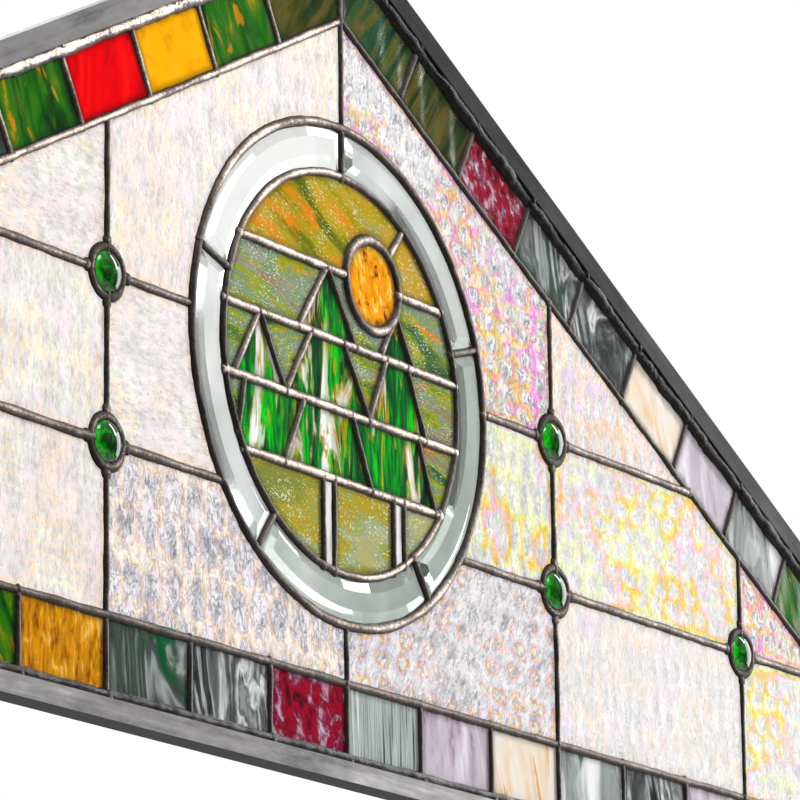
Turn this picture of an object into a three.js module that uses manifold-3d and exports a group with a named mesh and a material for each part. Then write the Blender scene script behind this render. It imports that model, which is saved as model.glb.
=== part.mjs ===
// A gable window panel of copper-foiled stained glass in a grooved metal frame.
//
// Everything is laid out flat, as on the maker's bench: x runs along the bottom rail from the centre
// line, y goes up the gable and z comes out of the front. The finished panel is then stood up, front
// towards -Y, with its origin in the middle of the bottom rail's underside.
import * as THREE from 'three';
import { mergeVertices } from 'three/addons/utils/BufferGeometryUtils.js';
import Module from 'manifold-3d';

const wasm = await Module();
wasm.setup();

// ---- Driving dimensions, in millimetres ----
const COLUMN_PITCH = 248;      // between the upright field seams
const ROW_PITCH = 104;         // between the level field seams
const ROOF_SLOPE = 0.53;       // rise of the rafters for each unit of run
const FIELD_RISE = 436;        // peak of the field above its lowest seam
const BORDER_DEPTH = 50;       // border glass that shows, square to the frame

const RAIL_FACE = 13;          // front width of the bottom rail
const RAFTER_FACE = 15.5;      // front width of the rafter bars
const FRAME_DEPTH = 17;        // front to back
const GLASS_SET = 3;           // glass mid-plane in front of the frame's
const GROOVE_REACH = 8;        // how far the glass edge goes into the frame

const GLASS_THICK = 3;
const SEAM_WIDTH = 6;
// How deep the solder stands, front bead to back bead, on each kind of seam. A seam that crosses
// another is a little deeper or shallower than it, as a bead run over a bead is.
const DEPTH = {
  upright: 6,
  level: 6.3,
  rightRoof: 6.5,
  leftRoof: 6.7,
  ring: 7.2,
  joint: 6.9,
  collar: 8,
  edge: 5.7,
  mitre: 5.4,
  pictureLevel: 5.6,
  pictureUpright: 5.1,
  pine: 5.3,
  sun: 6.4,
};
const EDGE_BEAD = 3.5;         // solder that shows along the frame
const FIT = 0.3;               // clearance left between neighbours

const RING_CENTRE_RISE = 200;  // medallion's centre above the lowest field seam
const RING_OUTER = 163;        // radius of the ring's outer seam
const RING_INNER = 130.5;      // radius of its inner seam
const RING_PIECES = 5;
const RING_SEAM_WIDTH = 7.5;
const BEVEL_THICK = 5;
const BEVEL_EDGE = 2;          // thickness left at a ground edge
const BEVEL_WIDTH = 9;

const JEWEL_RADIUS = 12.7;
const JEWEL_RISE = 6.5;        // dome above the glass mid-plane
const JEWEL_FOOT = 1;          // how far its flat back stands behind the glass
const JEWEL_FOOT_WIDTH = 0.8;  // flat back's radius as a part of the jewel's
const COLLAR_RADIUS = 18;

const SKY_LINE = 66;           // level seams of the medallion, from its centre
const UPPER_TIER = 20;
const LOWER_TIER = -25;
const GROUND_LINE = -71;
const TRUNK_WIDTH = 12;
const SUN = { x: 34, y: SKY_LINE, radius: 30, seam: 8.5 };
const SUN_RAY = 52;            // degrees, the seam from the sun up to the ring
const SMALL_PINE_TOUCH = -28;  // degrees, where its tip meets the sun

// Each pine has tiers of [half-width at the top, half-width at the bottom], from one level seam to
// the next.
const sunPoint = (degrees) => new THREE.Vector2(SUN.radius, 0)
  .rotateAround(new THREE.Vector2(), THREE.MathUtils.degToRad(degrees))
  .add(new THREE.Vector2(SUN.x, SUN.y));
const smallTip = sunPoint(SMALL_PINE_TOUCH);
const TALL_PINE = { x: -18, tip: SKY_LINE, tiers: [[0, 32], [18, 46], [26, 48]] };
const SMALL_PINE = { x: smallTip.x, tip: smallTip.y, tiers: [[0, 19], [12, 32.5], [23, 42]] };
const LEFT_PINE = { x: -92, tip: UPPER_TIER, tiers: [null, [0, 28], [16, 25]] };
const TIER_LEVELS = [[SKY_LINE, UPPER_TIER], [UPPER_TIER, LOWER_TIER], [LOWER_TIER, GROUND_LINE]];

const ARC_STEPS = 40;          // facets in a full turn
const JEWEL_STEPS = 16;
const SUN_STEPS = 32;
const DOME_STEPS = 4;          // facets from a jewel's girdle to its crown
const FIELD_ROWS = 3;
const FAR = 400;               // longer than any cutter needs to reach

// ---- Derived levels ----
const FIELD_BASE = RAIL_FACE + BORDER_DEPTH;
const FIELD_PEAK = FIELD_BASE + FIELD_RISE;
const FIELD_CORNER = FIELD_RISE / ROOF_SLOPE;
const RING_Y = FIELD_BASE + RING_CENTRE_RISE;
const ROOF_ANGLE = Math.atan(ROOF_SLOPE);
const SLOPED = 1 / Math.cos(ROOF_ANGLE);
const point = (x, y) => new THREE.Vector2(x, y);
const roofY = (x) => FIELD_PEAK - ROOF_SLOPE * Math.abs(x);
const onRing = (x, y) => point(x, y + RING_Y);

// ---- Materials ----
const finish = (color, roughness, metalness = 0) => (
  new THREE.MeshStandardMaterial({ color, roughness, metalness }));
const ZINC = [0x8d8c8e, 0.45, 0.9];
const SOLDER = [0x3a3836, 0.35, 0.9];
const CLEAR = [0xdfe6e2, 0.05];
const JEWEL_GREEN = [0x0c6b2b, 0.08];
const IRIDESCENT = [0xe6e0dc, 0.3];
const BORDER_MIX = [0x7c8f6a, 0.25];
const SKY_OLIVE = [0x8f8a2a, 0.3];
const SUN_AMBER = [0xf2a30c, 0.25];
const PINE_GREEN = [0x14662f, 0.25];
const GROUND_OLIVE = [0x8b8a35, 0.35];
const TRUNK_CLEAR = [0xc9c4bf, 0.2];

// ---- Solids ----
function toSolid(geometry) {
  const bare = geometry.clone();
  bare.deleteAttribute('normal');
  bare.deleteAttribute('uv');
  const merged = mergeVertices(bare, 1e-4);
  const vertProperties = Float32Array.from(merged.attributes.position.array);
  const triVerts = Uint32Array.from(merged.index.array);
  return new wasm.Manifold(new wasm.Mesh({ numProp: 3, vertProperties, triVerts }));
}

function toGeometry(solid) {
  const { vertProperties, triVerts } = solid.getMesh();
  const geometry = new THREE.BufferGeometry();
  geometry.setAttribute('position', new THREE.BufferAttribute(vertProperties, 3));
  geometry.setIndex(new THREE.BufferAttribute(triVerts, 1));
  geometry.computeVertexNormals();
  return geometry;
}

const join = (solids) => solids.reduce((whole, next) => whole.add(next));

// A flat outline given thickness, from z = low to z = high.
function slab(shape, low, high) {
  const geometry = new THREE.ExtrudeGeometry(shape, { depth: high - low, bevelEnabled: false });
  geometry.translate(0, 0, low);
  return toSolid(geometry);
}

const polygon = (points) => new THREE.Shape(points);

function disc(centre, radius, steps = ARC_STEPS) {
  const turn = (2 * Math.PI) / steps;
  const onRim = (angle) => point(radius, 0).rotateAround(point(0, 0), angle).add(centre);
  return polygon(Array.from({ length: steps }, (_, i) => onRim(i * turn)));
}

function annulus(centre, radius, width, steps = ARC_STEPS) {
  const ring = disc(centre, radius + width / 2, steps);
  ring.holes.push(disc(centre, radius - width / 2, steps));
  return ring;
}

function strip(from, to, width) {
  const across = to.clone().sub(from).setLength(width / 2).rotateAround(point(0, 0), Math.PI / 2);
  return polygon([
    from.clone().sub(across),
    to.clone().sub(across),
    to.clone().add(across),
    from.clone().add(across),
  ]);
}

const rectangle = (left, right, bottom, top) => polygon([
  point(left, bottom),
  point(right, bottom),
  point(right, top),
  point(left, top),
]);

// ---- Seams ----
// Every solder line is a plan that gives both its bead and the channel that the glass leaves for it.
const line = (from, to, depth) => ({ depth, plan: (extra) => strip(from, to, SEAM_WIDTH + extra) });
const loop = (centre, radius, width, depth, steps) => ({
  depth,
  plan: (extra) => annulus(centre, radius, width + extra, steps),
});
const collar = (centre) => ({
  depth: DEPTH.collar,
  plan: (extra) => disc(centre, COLLAR_RADIUS + extra / 2, JEWEL_STEPS),
  hole: () => disc(centre, JEWEL_RADIUS, JEWEL_STEPS),
});

const bead = (seam) => slab(seam.plan(0), -seam.depth / 2, seam.depth / 2);
const channel = (seam) => slab(seam.plan(2 * FIT), -FAR, FAR);

const CENTRE = point(0, RING_Y);
const ringChord = (rise, radius) => Math.sqrt(radius ** 2 - rise ** 2);
const SIDES = [['left', -1], ['right', 1]];

function fieldSeams() {
  const seams = [
    line(point(-FIELD_CORNER, FIELD_BASE), point(FIELD_CORNER, FIELD_BASE), DEPTH.level),
    line(point(0, FIELD_PEAK), onRing(0, RING_OUTER), DEPTH.upright),
    line(onRing(0, -RING_OUTER), point(0, FIELD_BASE), DEPTH.upright),
  ];
  for (const [name, side] of SIDES) {
    const corner = point(side * FIELD_CORNER, FIELD_BASE);
    seams.push(line(point(0, FIELD_PEAK), corner, DEPTH[`${name}Roof`]));
    for (let column = 1; column * COLUMN_PITCH < FIELD_CORNER; column += 1) {
      const x = side * column * COLUMN_PITCH;
      seams.push(line(point(x, FIELD_BASE), point(x, roofY(x)), DEPTH.upright));
    }
    for (let row = 1; row < FIELD_ROWS; row += 1) {
      const y = FIELD_BASE + row * ROW_PITCH;
      const start = ringChord(y - RING_Y, RING_OUTER);
      const end = (FIELD_PEAK - y) / ROOF_SLOPE;
      seams.push(line(point(side * start, y), point(side * end, y), DEPTH.level));
    }
  }
  return seams;
}

const jewelPlaces = SIDES.flatMap(([name, side]) => [
  [`${name}_upper`, point(side * COLUMN_PITCH, FIELD_BASE + 2 * ROW_PITCH)],
  [`${name}_lower`, point(side * COLUMN_PITCH, FIELD_BASE + ROW_PITCH)],
  [`${name}_outer`, point(side * 2 * COLUMN_PITCH, FIELD_BASE + ROW_PITCH)],
]);

const jointAngle = (index) => Math.PI / 2 + (2 * Math.PI * index) / RING_PIECES;
const aroundRing = (radius, angle) => point(radius, 0).rotateAround(point(0, 0), angle).add(CENTRE);

const jointSeams = () => Array.from({ length: RING_PIECES }, (_, i) => (
  line(aroundRing(RING_INNER, jointAngle(i)), aroundRing(RING_OUTER, jointAngle(i)), DEPTH.joint)));

const ringSeams = () => [
  loop(CENTRE, RING_OUTER, RING_SEAM_WIDTH, DEPTH.ring, ARC_STEPS),
  loop(CENTRE, RING_INNER, SEAM_WIDTH, DEPTH.ring, ARC_STEPS),
  ...jointSeams(),
];

const pineEdge = (pine, tier, side) => {
  const [top, bottom] = pine.tiers[tier];
  const [upper, lower] = TIER_LEVELS[tier];
  const start = top === 0 ? pine.tip : upper;
  return [onRing(pine.x + side * top, start), onRing(pine.x + side * bottom, lower)];
};

// Where a straight line leaves the medallion.
function toRim(from, through) {
  const along = through.clone().sub(from).normalize();
  const offset = from.clone().sub(CENTRE);
  const half = offset.dot(along);
  const reach = -half + Math.sqrt(half ** 2 - offset.lengthSq() + RING_INNER ** 2);
  return from.clone().addScaledVector(along, reach);
}

function medallionSeams() {
  const rim = (level) => ringChord(level, RING_INNER);
  const level = (left, right, y) => line(onRing(left, y), onRing(right, y), DEPTH.pictureLevel);
  const edge = (from, to) => line(from, to, DEPTH.pine);
  const sunCentre = onRing(SUN.x, SUN.y);
  const raySeam = sunPoint(SUN_RAY).add(point(0, RING_Y));
  const leftSkirt = pineEdge(LEFT_PINE, 2, -1);
  const seams = [
    level(-rim(SKY_LINE), SUN.x - SUN.radius, SKY_LINE),
    level(SUN.x + SUN.radius, rim(SKY_LINE), SKY_LINE),
    loop(sunCentre, SUN.radius, SUN.seam, DEPTH.sun, SUN_STEPS),
    edge(raySeam, toRim(sunCentre, raySeam)),
    edge(leftSkirt[0], toRim(...leftSkirt)),
    edge(...pineEdge(LEFT_PINE, 1, -1)),
    edge(...pineEdge(LEFT_PINE, 1, 1)),
    edge(...pineEdge(SMALL_PINE, 2, 1)),
  ];
  for (const y of [UPPER_TIER, LOWER_TIER, GROUND_LINE]) {
    seams.push(level(-rim(y), rim(y), y));
  }
  for (const side of [-1, 1]) {
    for (const tier of [0, 1, 2]) {
      seams.push(edge(...pineEdge(TALL_PINE, tier, side)));
    }
    for (const tier of [0, 1]) {
      seams.push(edge(...pineEdge(SMALL_PINE, tier, side)));
    }
    for (const pine of [TALL_PINE, SMALL_PINE]) {
      const x = pine.x + (side * TRUNK_WIDTH) / 2;
      seams.push(line(onRing(x, GROUND_LINE), onRing(x, -rim(x)), DEPTH.pictureUpright));
    }
  }
  return seams;
}

// Lines parallel to a rafter or the rail, a given distance outside the field's edge.
const roofLineY = (outward) => FIELD_PEAK + outward * SLOPED;
const cornerX = (outward, y) => (roofLineY(outward) - y) / ROOF_SLOPE;

// A triangle like the frame's own, its sides moved out from the field by the amounts given.
const gable = (roofOut, railOut) => polygon([
  point(-cornerX(roofOut, FIELD_BASE - railOut), FIELD_BASE - railOut),
  point(cornerX(roofOut, FIELD_BASE - railOut), FIELD_BASE - railOut),
  point(0, roofLineY(roofOut)),
]);

// The edge of the glass: foil and solder, half hidden in the frame's groove.
function edgeSeam() {
  const inner = BORDER_DEPTH - EDGE_BEAD;
  const outer = BORDER_DEPTH + GROOVE_REACH;
  const rim = (extra) => {
    const outline = gable(outer + extra, outer + extra);
    outline.holes.push(gable(inner - extra, inner - extra));
    return outline;
  };
  return { depth: DEPTH.edge, plan: (extra) => rim(extra / 2) };
}

// The mitre between the bottom border and a rafter's border.
const mitreEnd = (side, outward) => {
  const y = FIELD_BASE - outward;
  return point(side * cornerX(outward, y), y);
};
const cornerSeams = () => SIDES.map(([, side]) => (
  line(mitreEnd(side, -SEAM_WIDTH / 2), mitreEnd(side, BORDER_DEPTH), DEPTH.mitre)));

const netSeams = [...fieldSeams(), ...ringSeams(), ...medallionSeams(), ...cornerSeams(), edgeSeam()];
const collars = jewelPlaces.map(([, place]) => collar(place));
const channels = join([...netSeams, ...collars].map(channel));
const fieldRoof = slab(gable(0, 0), -FAR, FAR);
const ringDisc = slab(disc(CENTRE, RING_OUTER), -FAR, FAR);
const medallionDisc = slab(disc(CENTRE, RING_INNER), -FAR, FAR);
const glassSlab = (shape) => slab(shape, -GLASS_THICK / 2, GLASS_THICK / 2);

const panel = new THREE.Group();
function place(name, solid, look) {
  const mesh = new THREE.Mesh(toGeometry(solid), finish(...look));
  mesh.name = name;
  panel.add(mesh);
}

// ---- Frame ----
function frameBar(outline, groove) {
  const depth = FRAME_DEPTH / 2;
  const body = slab(outline, -depth - GLASS_SET, depth - GLASS_SET);
  return body.subtract(slab(groove, -DEPTH.edge / 2 - FIT, DEPTH.edge / 2 + FIT));
}

function frame() {
  const cornerOut = point(cornerX(BORDER_DEPTH + RAFTER_FACE, 0), 0);
  const cornerIn = point(cornerX(BORDER_DEPTH, RAIL_FACE), RAIL_FACE);
  const peakOut = point(0, roofLineY(BORDER_DEPTH + RAFTER_FACE));
  const peakIn = point(0, roofLineY(BORDER_DEPTH));
  const mirrored = (corner) => point(-corner.x, corner.y);
  const groove = gable(BORDER_DEPTH + GROOVE_REACH + FIT, BORDER_DEPTH + GROOVE_REACH + FIT);
  const mitre = FIT / 2;
  const rail = polygon([mirrored(cornerOut), cornerOut, cornerIn, mirrored(cornerIn)]);
  const rafter = [cornerOut, peakOut, peakIn, cornerIn];
  const mitreCuts = join([
    channelAlong(cornerOut, cornerIn, mitre),
    channelAlong(mirrored(cornerOut), mirrored(cornerIn), mitre),
    channelAlong(peakIn, peakOut, mitre),
  ]);
  const bars = {
    bottom_rail: rail,
    right_rafter_bar: polygon(rafter),
    left_rafter_bar: polygon(rafter.map(mirrored).reverse()),
  };
  for (const [name, outline] of Object.entries(bars)) {
    place(name, frameBar(outline, groove).subtract(mitreCuts), ZINC);
  }
}

// A narrow saw cut along a line and a little past both of its ends.
function channelAlong(from, to, half) {
  const past = to.clone().sub(from).setLength(SEAM_WIDTH);
  return slab(strip(from.clone().sub(past), to.clone().add(past), 2 * half), -FAR, FAR);
}

// ---- Solder net ----
function solderNet() {
  const jewelHoles = join(collars.map((seam) => slab(seam.hole(), -FAR, FAR)));
  const net = join([...netSeams, ...collars].map(bead));
  place('solder_net', net.subtract(jewelHoles), SOLDER);
}

// ---- Glass ----
function fieldPanes() {
  for (const [name, side] of SIDES) {
    for (let column = 0; column * COLUMN_PITCH < FIELD_CORNER; column += 1) {
      for (let row = 0; row < FIELD_ROWS; row += 1) {
        const near = column * COLUMN_PITCH;
        const low = FIELD_BASE + row * ROW_PITCH;
        const high = row === FIELD_ROWS - 1 ? FIELD_PEAK : low + ROW_PITCH;
        if (roofY(near) <= low) {
          continue;
        }
        const [left, right] = [side * near, side * (near + COLUMN_PITCH)].sort((a, b) => a - b);
        const cell = glassSlab(rectangle(left, right, low, high));
        const pane = cell.intersect(fieldRoof).subtract(ringDisc).subtract(channels);
        place(`field_pane_${name}_${column + 1}_${row + 1}`, pane, IRIDESCENT);
      }
    }
  }
}

// A ring piece is ground down to a thin edge on all four sides.
function bevelRing() {
  const back = -GLASS_THICK / 2;
  const front = back + BEVEL_THICK;
  const edge = back + BEVEL_EDGE;
  const inner = RING_INNER + SEAM_WIDTH / 2 + FIT;
  const outer = RING_OUTER - RING_SEAM_WIDTH / 2 - FIT;
  const profile = [
    point(inner, back),
    point(outer, back),
    point(outer, edge),
    point(outer - BEVEL_WIDTH, front),
    point(inner + BEVEL_WIDTH, front),
    point(inner, edge),
    point(inner, back),
  ];
  const ring = new THREE.LatheGeometry(profile, ARC_STEPS);
  ring.rotateX(Math.PI / 2);
  ring.translate(CENTRE.x, CENTRE.y, 0);
  const edgeSlope = Math.atan2(front - edge, BEVEL_WIDTH);
  const joints = join(jointSeams().map(channel));
  for (let i = 0; i < RING_PIECES; i += 1) {
    const [from, to] = [jointAngle(i), jointAngle(i + 1)];
    const middle = (from + to) / 2;
    const wedge = polygon([CENTRE, aroundRing(FAR, from), aroundRing(FAR, middle), aroundRing(FAR, to)]);
    const piece = toSolid(ring)
      .intersect(slab(wedge, -FAR, FAR))
      .subtract(joints)
      .subtract(endGrind(from, 1, edge, edgeSlope))
      .subtract(endGrind(to, -1, edge, edgeSlope));
    place(`bevel_piece_${i + 1}`, piece, CLEAR);
  }
}

// What grinding takes off a ring piece's end: a block whose underside is the bevel's slope.
function endGrind(angle, turn, edge, slope) {
  const block = new THREE.BoxGeometry(FAR, FAR, FAR);
  block.translate(0, 0, FAR / 2);
  block.rotateX(turn * slope);
  block.translate(RING_INNER, turn * (SEAM_WIDTH / 2 + FIT), edge);
  block.rotateZ(angle);
  block.translate(CENTRE.x, CENTRE.y, 0);
  return toSolid(block);
}

function jewels() {
  const radius = JEWEL_RADIUS - FIT;
  const girdle = GLASS_THICK / 2;
  const back = -girdle - JEWEL_FOOT;
  const profile = [point(0, back), point(radius * JEWEL_FOOT_WIDTH, back), point(radius, -girdle)];
  for (let i = 0; i < DOME_STEPS; i += 1) {
    const angle = (i / DOME_STEPS) * (Math.PI / 2);
    profile.push(point(radius * Math.cos(angle), girdle + (JEWEL_RISE - girdle) * Math.sin(angle)));
  }
  profile.push(point(0, JEWEL_RISE));
  for (const [name, centre] of jewelPlaces) {
    const dome = new THREE.LatheGeometry(profile, JEWEL_STEPS);
    dome.rotateX(Math.PI / 2);
    dome.rotateZ(Math.PI / 2);
    const mesh = new THREE.Mesh(toGeometry(toSolid(dome)), finish(...JEWEL_GREEN));
    mesh.name = `jewel_${name}`;
    mesh.position.set(centre.x, centre.y, 0);
    panel.add(mesh);
  }
}

const tierOutline = (pine, tier) => polygon([
  ...pineEdge(pine, tier, -1).reverse(),
  ...pineEdge(pine, tier, 1),
]);
const medallionPane = (shape) => glassSlab(shape).intersect(medallionDisc);

function pines() {
  const pieces = [
    ['tall_pine_top', TALL_PINE, 0],
    ['tall_pine_middle', TALL_PINE, 1],
    ['tall_pine_skirt', TALL_PINE, 2],
    ['small_pine_top', SMALL_PINE, 0],
    ['small_pine_middle', SMALL_PINE, 1],
    ['left_pine_top', LEFT_PINE, 1],
  ];
  for (const [name, pine, tier] of pieces) {
    place(name, medallionPane(tierOutline(pine, tier)).subtract(channels), PINE_GREEN);
  }
  // The two skirts that stand behind the tall pine run on to its side.
  const tallSkirt = slab(tierOutline(TALL_PINE, 2), -FAR, FAR);
  const behind = [['left_pine_skirt', LEFT_PINE, -1], ['small_pine_skirt', SMALL_PINE, 1]];
  for (const [name, pine, side] of behind) {
    const [top, bottom] = pineEdge(pine, 2, side);
    const corners = [top, bottom, onRing(TALL_PINE.x, GROUND_LINE), onRing(TALL_PINE.x, LOWER_TIER)];
    const outline = polygon(side > 0 ? corners.reverse() : corners);
    place(name, medallionPane(outline).subtract(tallSkirt).subtract(channels), PINE_GREEN);
  }
}

function skyAndGround() {
  const trees = join([
    ...[0, 1, 2].map((tier) => slab(tierOutline(TALL_PINE, tier), -FAR, FAR)),
    ...[0, 1, 2].map((tier) => slab(tierOutline(SMALL_PINE, tier), -FAR, FAR)),
    ...[1, 2].map((tier) => slab(tierOutline(LEFT_PINE, tier), -FAR, FAR)),
  ]);
  const sunDisc = slab(disc(onRing(SUN.x, SUN.y), SUN.radius, SUN_STEPS), -FAR, FAR);
  const sky = (left, right, bottom, top) => {
    const outline = rectangle(left, right, RING_Y + bottom, RING_Y + top);
    return medallionPane(outline).subtract(trees).subtract(sunDisc).subtract(channels);
  };
  const skyRow = (row, top, bottom, trunks, names) => {
    const cuts = [-RING_OUTER, ...trunks, RING_OUTER];
    names.forEach((name, i) => {
      place(`sky_${row}_${name}`, sky(cuts[i], cuts[i + 1], bottom, top), SKY_OLIVE);
    });
  };
  const notched = ['left', 'left_notch', 'right_notch', 'right'];
  skyRow('upper', SKY_LINE, UPPER_TIER, [TALL_PINE.x, SMALL_PINE.x], ['left', 'middle', 'right']);
  skyRow('middle', UPPER_TIER, LOWER_TIER, [LEFT_PINE.x, TALL_PINE.x, SMALL_PINE.x], notched);
  place('sky_lower_left', sky(-RING_OUTER, LEFT_PINE.x, GROUND_LINE, LOWER_TIER), SKY_OLIVE);
  place('sky_lower_right', sky(SMALL_PINE.x, RING_OUTER, GROUND_LINE, LOWER_TIER), SKY_OLIVE);

  const sunCentre = onRing(SUN.x, SUN.y);
  const rayEnd = sunPoint(SUN_RAY).add(point(0, RING_Y)).sub(sunCentre).setLength(FAR).add(sunCentre);
  const rightOfRay = slab(polygon([sunCentre, point(FAR, sunCentre.y), rayEnd]), -FAR, FAR);
  const dome = sky(-RING_OUTER, RING_OUTER, SKY_LINE, RING_OUTER);
  place('sky_dome', dome.subtract(rightOfRay), SKY_OLIVE);
  place('sky_dome_right', dome.intersect(rightOfRay), SKY_OLIVE);
  place('sun_disc', glassSlab(disc(sunCentre, SUN.radius, SUN_STEPS)).subtract(channels), SUN_AMBER);

  const ground = (left, right) => {
    const outline = rectangle(left, right, RING_Y - RING_OUTER, RING_Y + GROUND_LINE);
    return medallionPane(outline).subtract(channels);
  };
  const half = TRUNK_WIDTH / 2;
  place('ground_left', ground(-RING_OUTER, TALL_PINE.x - half), GROUND_OLIVE);
  place('tall_pine_trunk', ground(TALL_PINE.x - half, TALL_PINE.x + half), TRUNK_CLEAR);
  place('ground_middle', ground(TALL_PINE.x + half, SMALL_PINE.x - half), GROUND_OLIVE);
  place('small_pine_trunk', ground(SMALL_PINE.x - half, SMALL_PINE.x + half), TRUNK_CLEAR);
  place('ground_right', ground(SMALL_PINE.x + half, RING_OUTER), GROUND_OLIVE);
}

function borderRuns() {
  const outline = gable(BORDER_DEPTH, BORDER_DEPTH);
  outline.holes.push(gable(0, 0));
  const band = glassSlab(outline).subtract(channels);
  const bottomBand = polygon([
    mitreEnd(-1, BORDER_DEPTH),
    mitreEnd(1, BORDER_DEPTH),
    mitreEnd(1, 0),
    mitreEnd(-1, 0),
  ]);
  const lower = slab(bottomBand, -FAR, FAR);
  place('border_glass_bottom', band.intersect(lower), BORDER_MIX);
  place('border_glass_rafters', band.subtract(lower), BORDER_MIX);
}

frame();
solderNet();
fieldPanes();
bevelRing();
jewels();
pines();
skyAndGround();
borderRuns();

panel.rotation.x = Math.PI / 2;
panel.position.y = -GLASS_SET;

const group = new THREE.Group();
group.add(panel);
export default group;
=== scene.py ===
"""A gable window panel of copper-foiled stained glass, finished piece by piece in its grooved frame.

Plan places are (across, up) on the panel, and out is how far a point stands in front of the middle
of the glass. Lengths are in metres, except where a comment gives another unit.
"""
import math

import bmesh
import bpy
import numpy as np
from mathutils import Euler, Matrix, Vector, noise
from mathutils.geometry import delaunay_2d_cdt


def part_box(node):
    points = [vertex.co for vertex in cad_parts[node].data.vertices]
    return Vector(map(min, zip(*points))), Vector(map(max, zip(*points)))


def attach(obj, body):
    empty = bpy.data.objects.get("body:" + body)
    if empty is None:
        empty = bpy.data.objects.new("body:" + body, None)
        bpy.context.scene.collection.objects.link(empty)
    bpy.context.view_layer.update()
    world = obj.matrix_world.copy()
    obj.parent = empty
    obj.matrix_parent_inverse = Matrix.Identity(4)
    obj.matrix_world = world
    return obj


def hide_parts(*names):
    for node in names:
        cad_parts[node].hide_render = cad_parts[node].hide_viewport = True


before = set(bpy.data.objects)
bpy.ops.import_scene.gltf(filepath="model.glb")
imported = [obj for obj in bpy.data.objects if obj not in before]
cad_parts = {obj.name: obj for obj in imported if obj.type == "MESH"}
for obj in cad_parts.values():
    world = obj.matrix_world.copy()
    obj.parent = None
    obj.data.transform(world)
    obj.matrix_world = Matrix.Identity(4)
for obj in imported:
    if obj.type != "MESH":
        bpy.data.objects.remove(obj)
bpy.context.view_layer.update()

MM = 0.001

# ---- Sizes ----
COLUMN_PITCH = 248 * MM        # between the upright field seams
ROW_PITCH = 104 * MM           # between the level field seams
ROOF_SLOPE = 0.53              # rise of the rafters for each unit of run
FIELD_RISE = 436 * MM
BORDER_DEPTH = 50 * MM         # border glass that shows
RAIL_FACE = 13 * MM
RAFTER_FACE = 15.5 * MM
GROOVE_REACH = 4 * MM          # how far the border glass goes into the frame
TILE_GAP = 1.6 * MM            # between border tiles, under the solder

SEAM_WIDTH = 6.2 * MM
LEVEL_SEAM_WIDTH = 7 * MM      # across the field
PICTURE_LEVEL_WIDTH = 7.4 * MM
RING_SEAM_WIDTH = 7.6 * MM
RING_CENTRE_RISE = 200 * MM
RING_OUTER = 163 * MM
RING_INNER = 130.5 * MM
RING_PIECES = 5
BEVEL_WIDTH = 9 * MM
BEVEL_EDGE = 2 * MM            # thickness left at a ground edge
BEVEL_THICK = 5 * MM

JEWEL_RADIUS = 12.7 * MM
JEWEL_RISE = 6.5 * MM
JEWEL_FOOT = 2.5 * MM
JEWEL_LAP = 0.3 * MM           # how far a dome goes into its collar
DOME_AROUND = 40               # points round a jewel, and levels up its dome
DOME_LEVELS = 9
COLLAR_RADIUS = 18 * MM
COLLAR_LAP = 2.4 * MM          # how much wider the collar's bead is than its gap
COLLAR_JOINT = 5 * MM          # radius of the puddle where a seam meets a collar
COLLAR_JOINT_OUT = 1.5 * MM    # how far outside the collar its middle is

SKY_LINE = 66 * MM             # level seams of the medallion, from its centre
UPPER_TIER = 20 * MM
LOWER_TIER = -25 * MM
GROUND_LINE = -71 * MM
TRUNK_WIDTH = 12 * MM
SUN_PLACE = (34 * MM, SKY_LINE)
SUN_RADIUS = 30 * MM
SUN_SEAM = 8.6 * MM
SUN_RAY = math.radians(52)
SMALL_PINE_TOUCH = math.radians(-28)

EDGE_INSET = 2.4 * MM          # from the frame to the middle of the solder along it
EDGE_JOINT = 5.6 * MM
BOTTOM_TILE = COLUMN_PITCH / 3
RAFTER_TILE = 77 * MM
LAP = 2.4 * MM                 # how far glass goes on under its solder
FACET = 2.5 * MM               # mesh size over the glass
FINE_FACET = 1.8 * MM
RIM_BAND = 7 * MM              # the strip of glass along its edges that gets painted solder shadow on art glass and more film on white glass
EASED_EDGE = 0.6 * MM          # on the frame's long edges
GROOVE_HALF = 3.2 * MM
GROOVE_SHARE = 0.62            # how much of the frame's face the groove runs under
BAR_STATIONS = 60              # lengths that each bar is divided into
DENT = 0.25 * MM
MITRE_GAP = 0.15 * MM          # between the peak's mitre and each rafter bar
RAIL_INSET = 4 * MITRE_GAP     # how far each end of the rail stops short of its mitre

# ---- Levels that follow from the sizes ----
glass_low, glass_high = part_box("sun_disc")
GLASS_PLANE = (glass_low.y + glass_high.y) / 2
GLASS_HALF = (glass_high.y - glass_low.y) / 2
FIELD_BASE = RAIL_FACE + BORDER_DEPTH
FIELD_PEAK = FIELD_BASE + FIELD_RISE
FIELD_CORNER = FIELD_RISE / ROOF_SLOPE
SLOPED = math.hypot(1, ROOF_SLOPE)
PEAK = np.array([0.0, FIELD_PEAK])
CENTRE = np.array([0.0, FIELD_BASE + RING_CENTRE_RISE])
rng = np.random.default_rng(7)


def spot(across, up):
    return np.array([across, up], float)


def on_ring(across, up):
    return CENTRE + (across, up)


def polar(radius, angle):
    return radius * np.array([math.cos(angle), math.sin(angle)])


def roof_line(outward):
    """Height, on the centre line, of the line parallel to a rafter that is that far outside the field."""
    return FIELD_PEAK + outward * SLOPED


def corner(side, roof_out, rail_out):
    """Where a line parallel to a rafter meets a line parallel to the rail."""
    up = FIELD_BASE - rail_out
    return spot(side * (roof_line(roof_out) - up) / ROOF_SLOPE, up)


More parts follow.
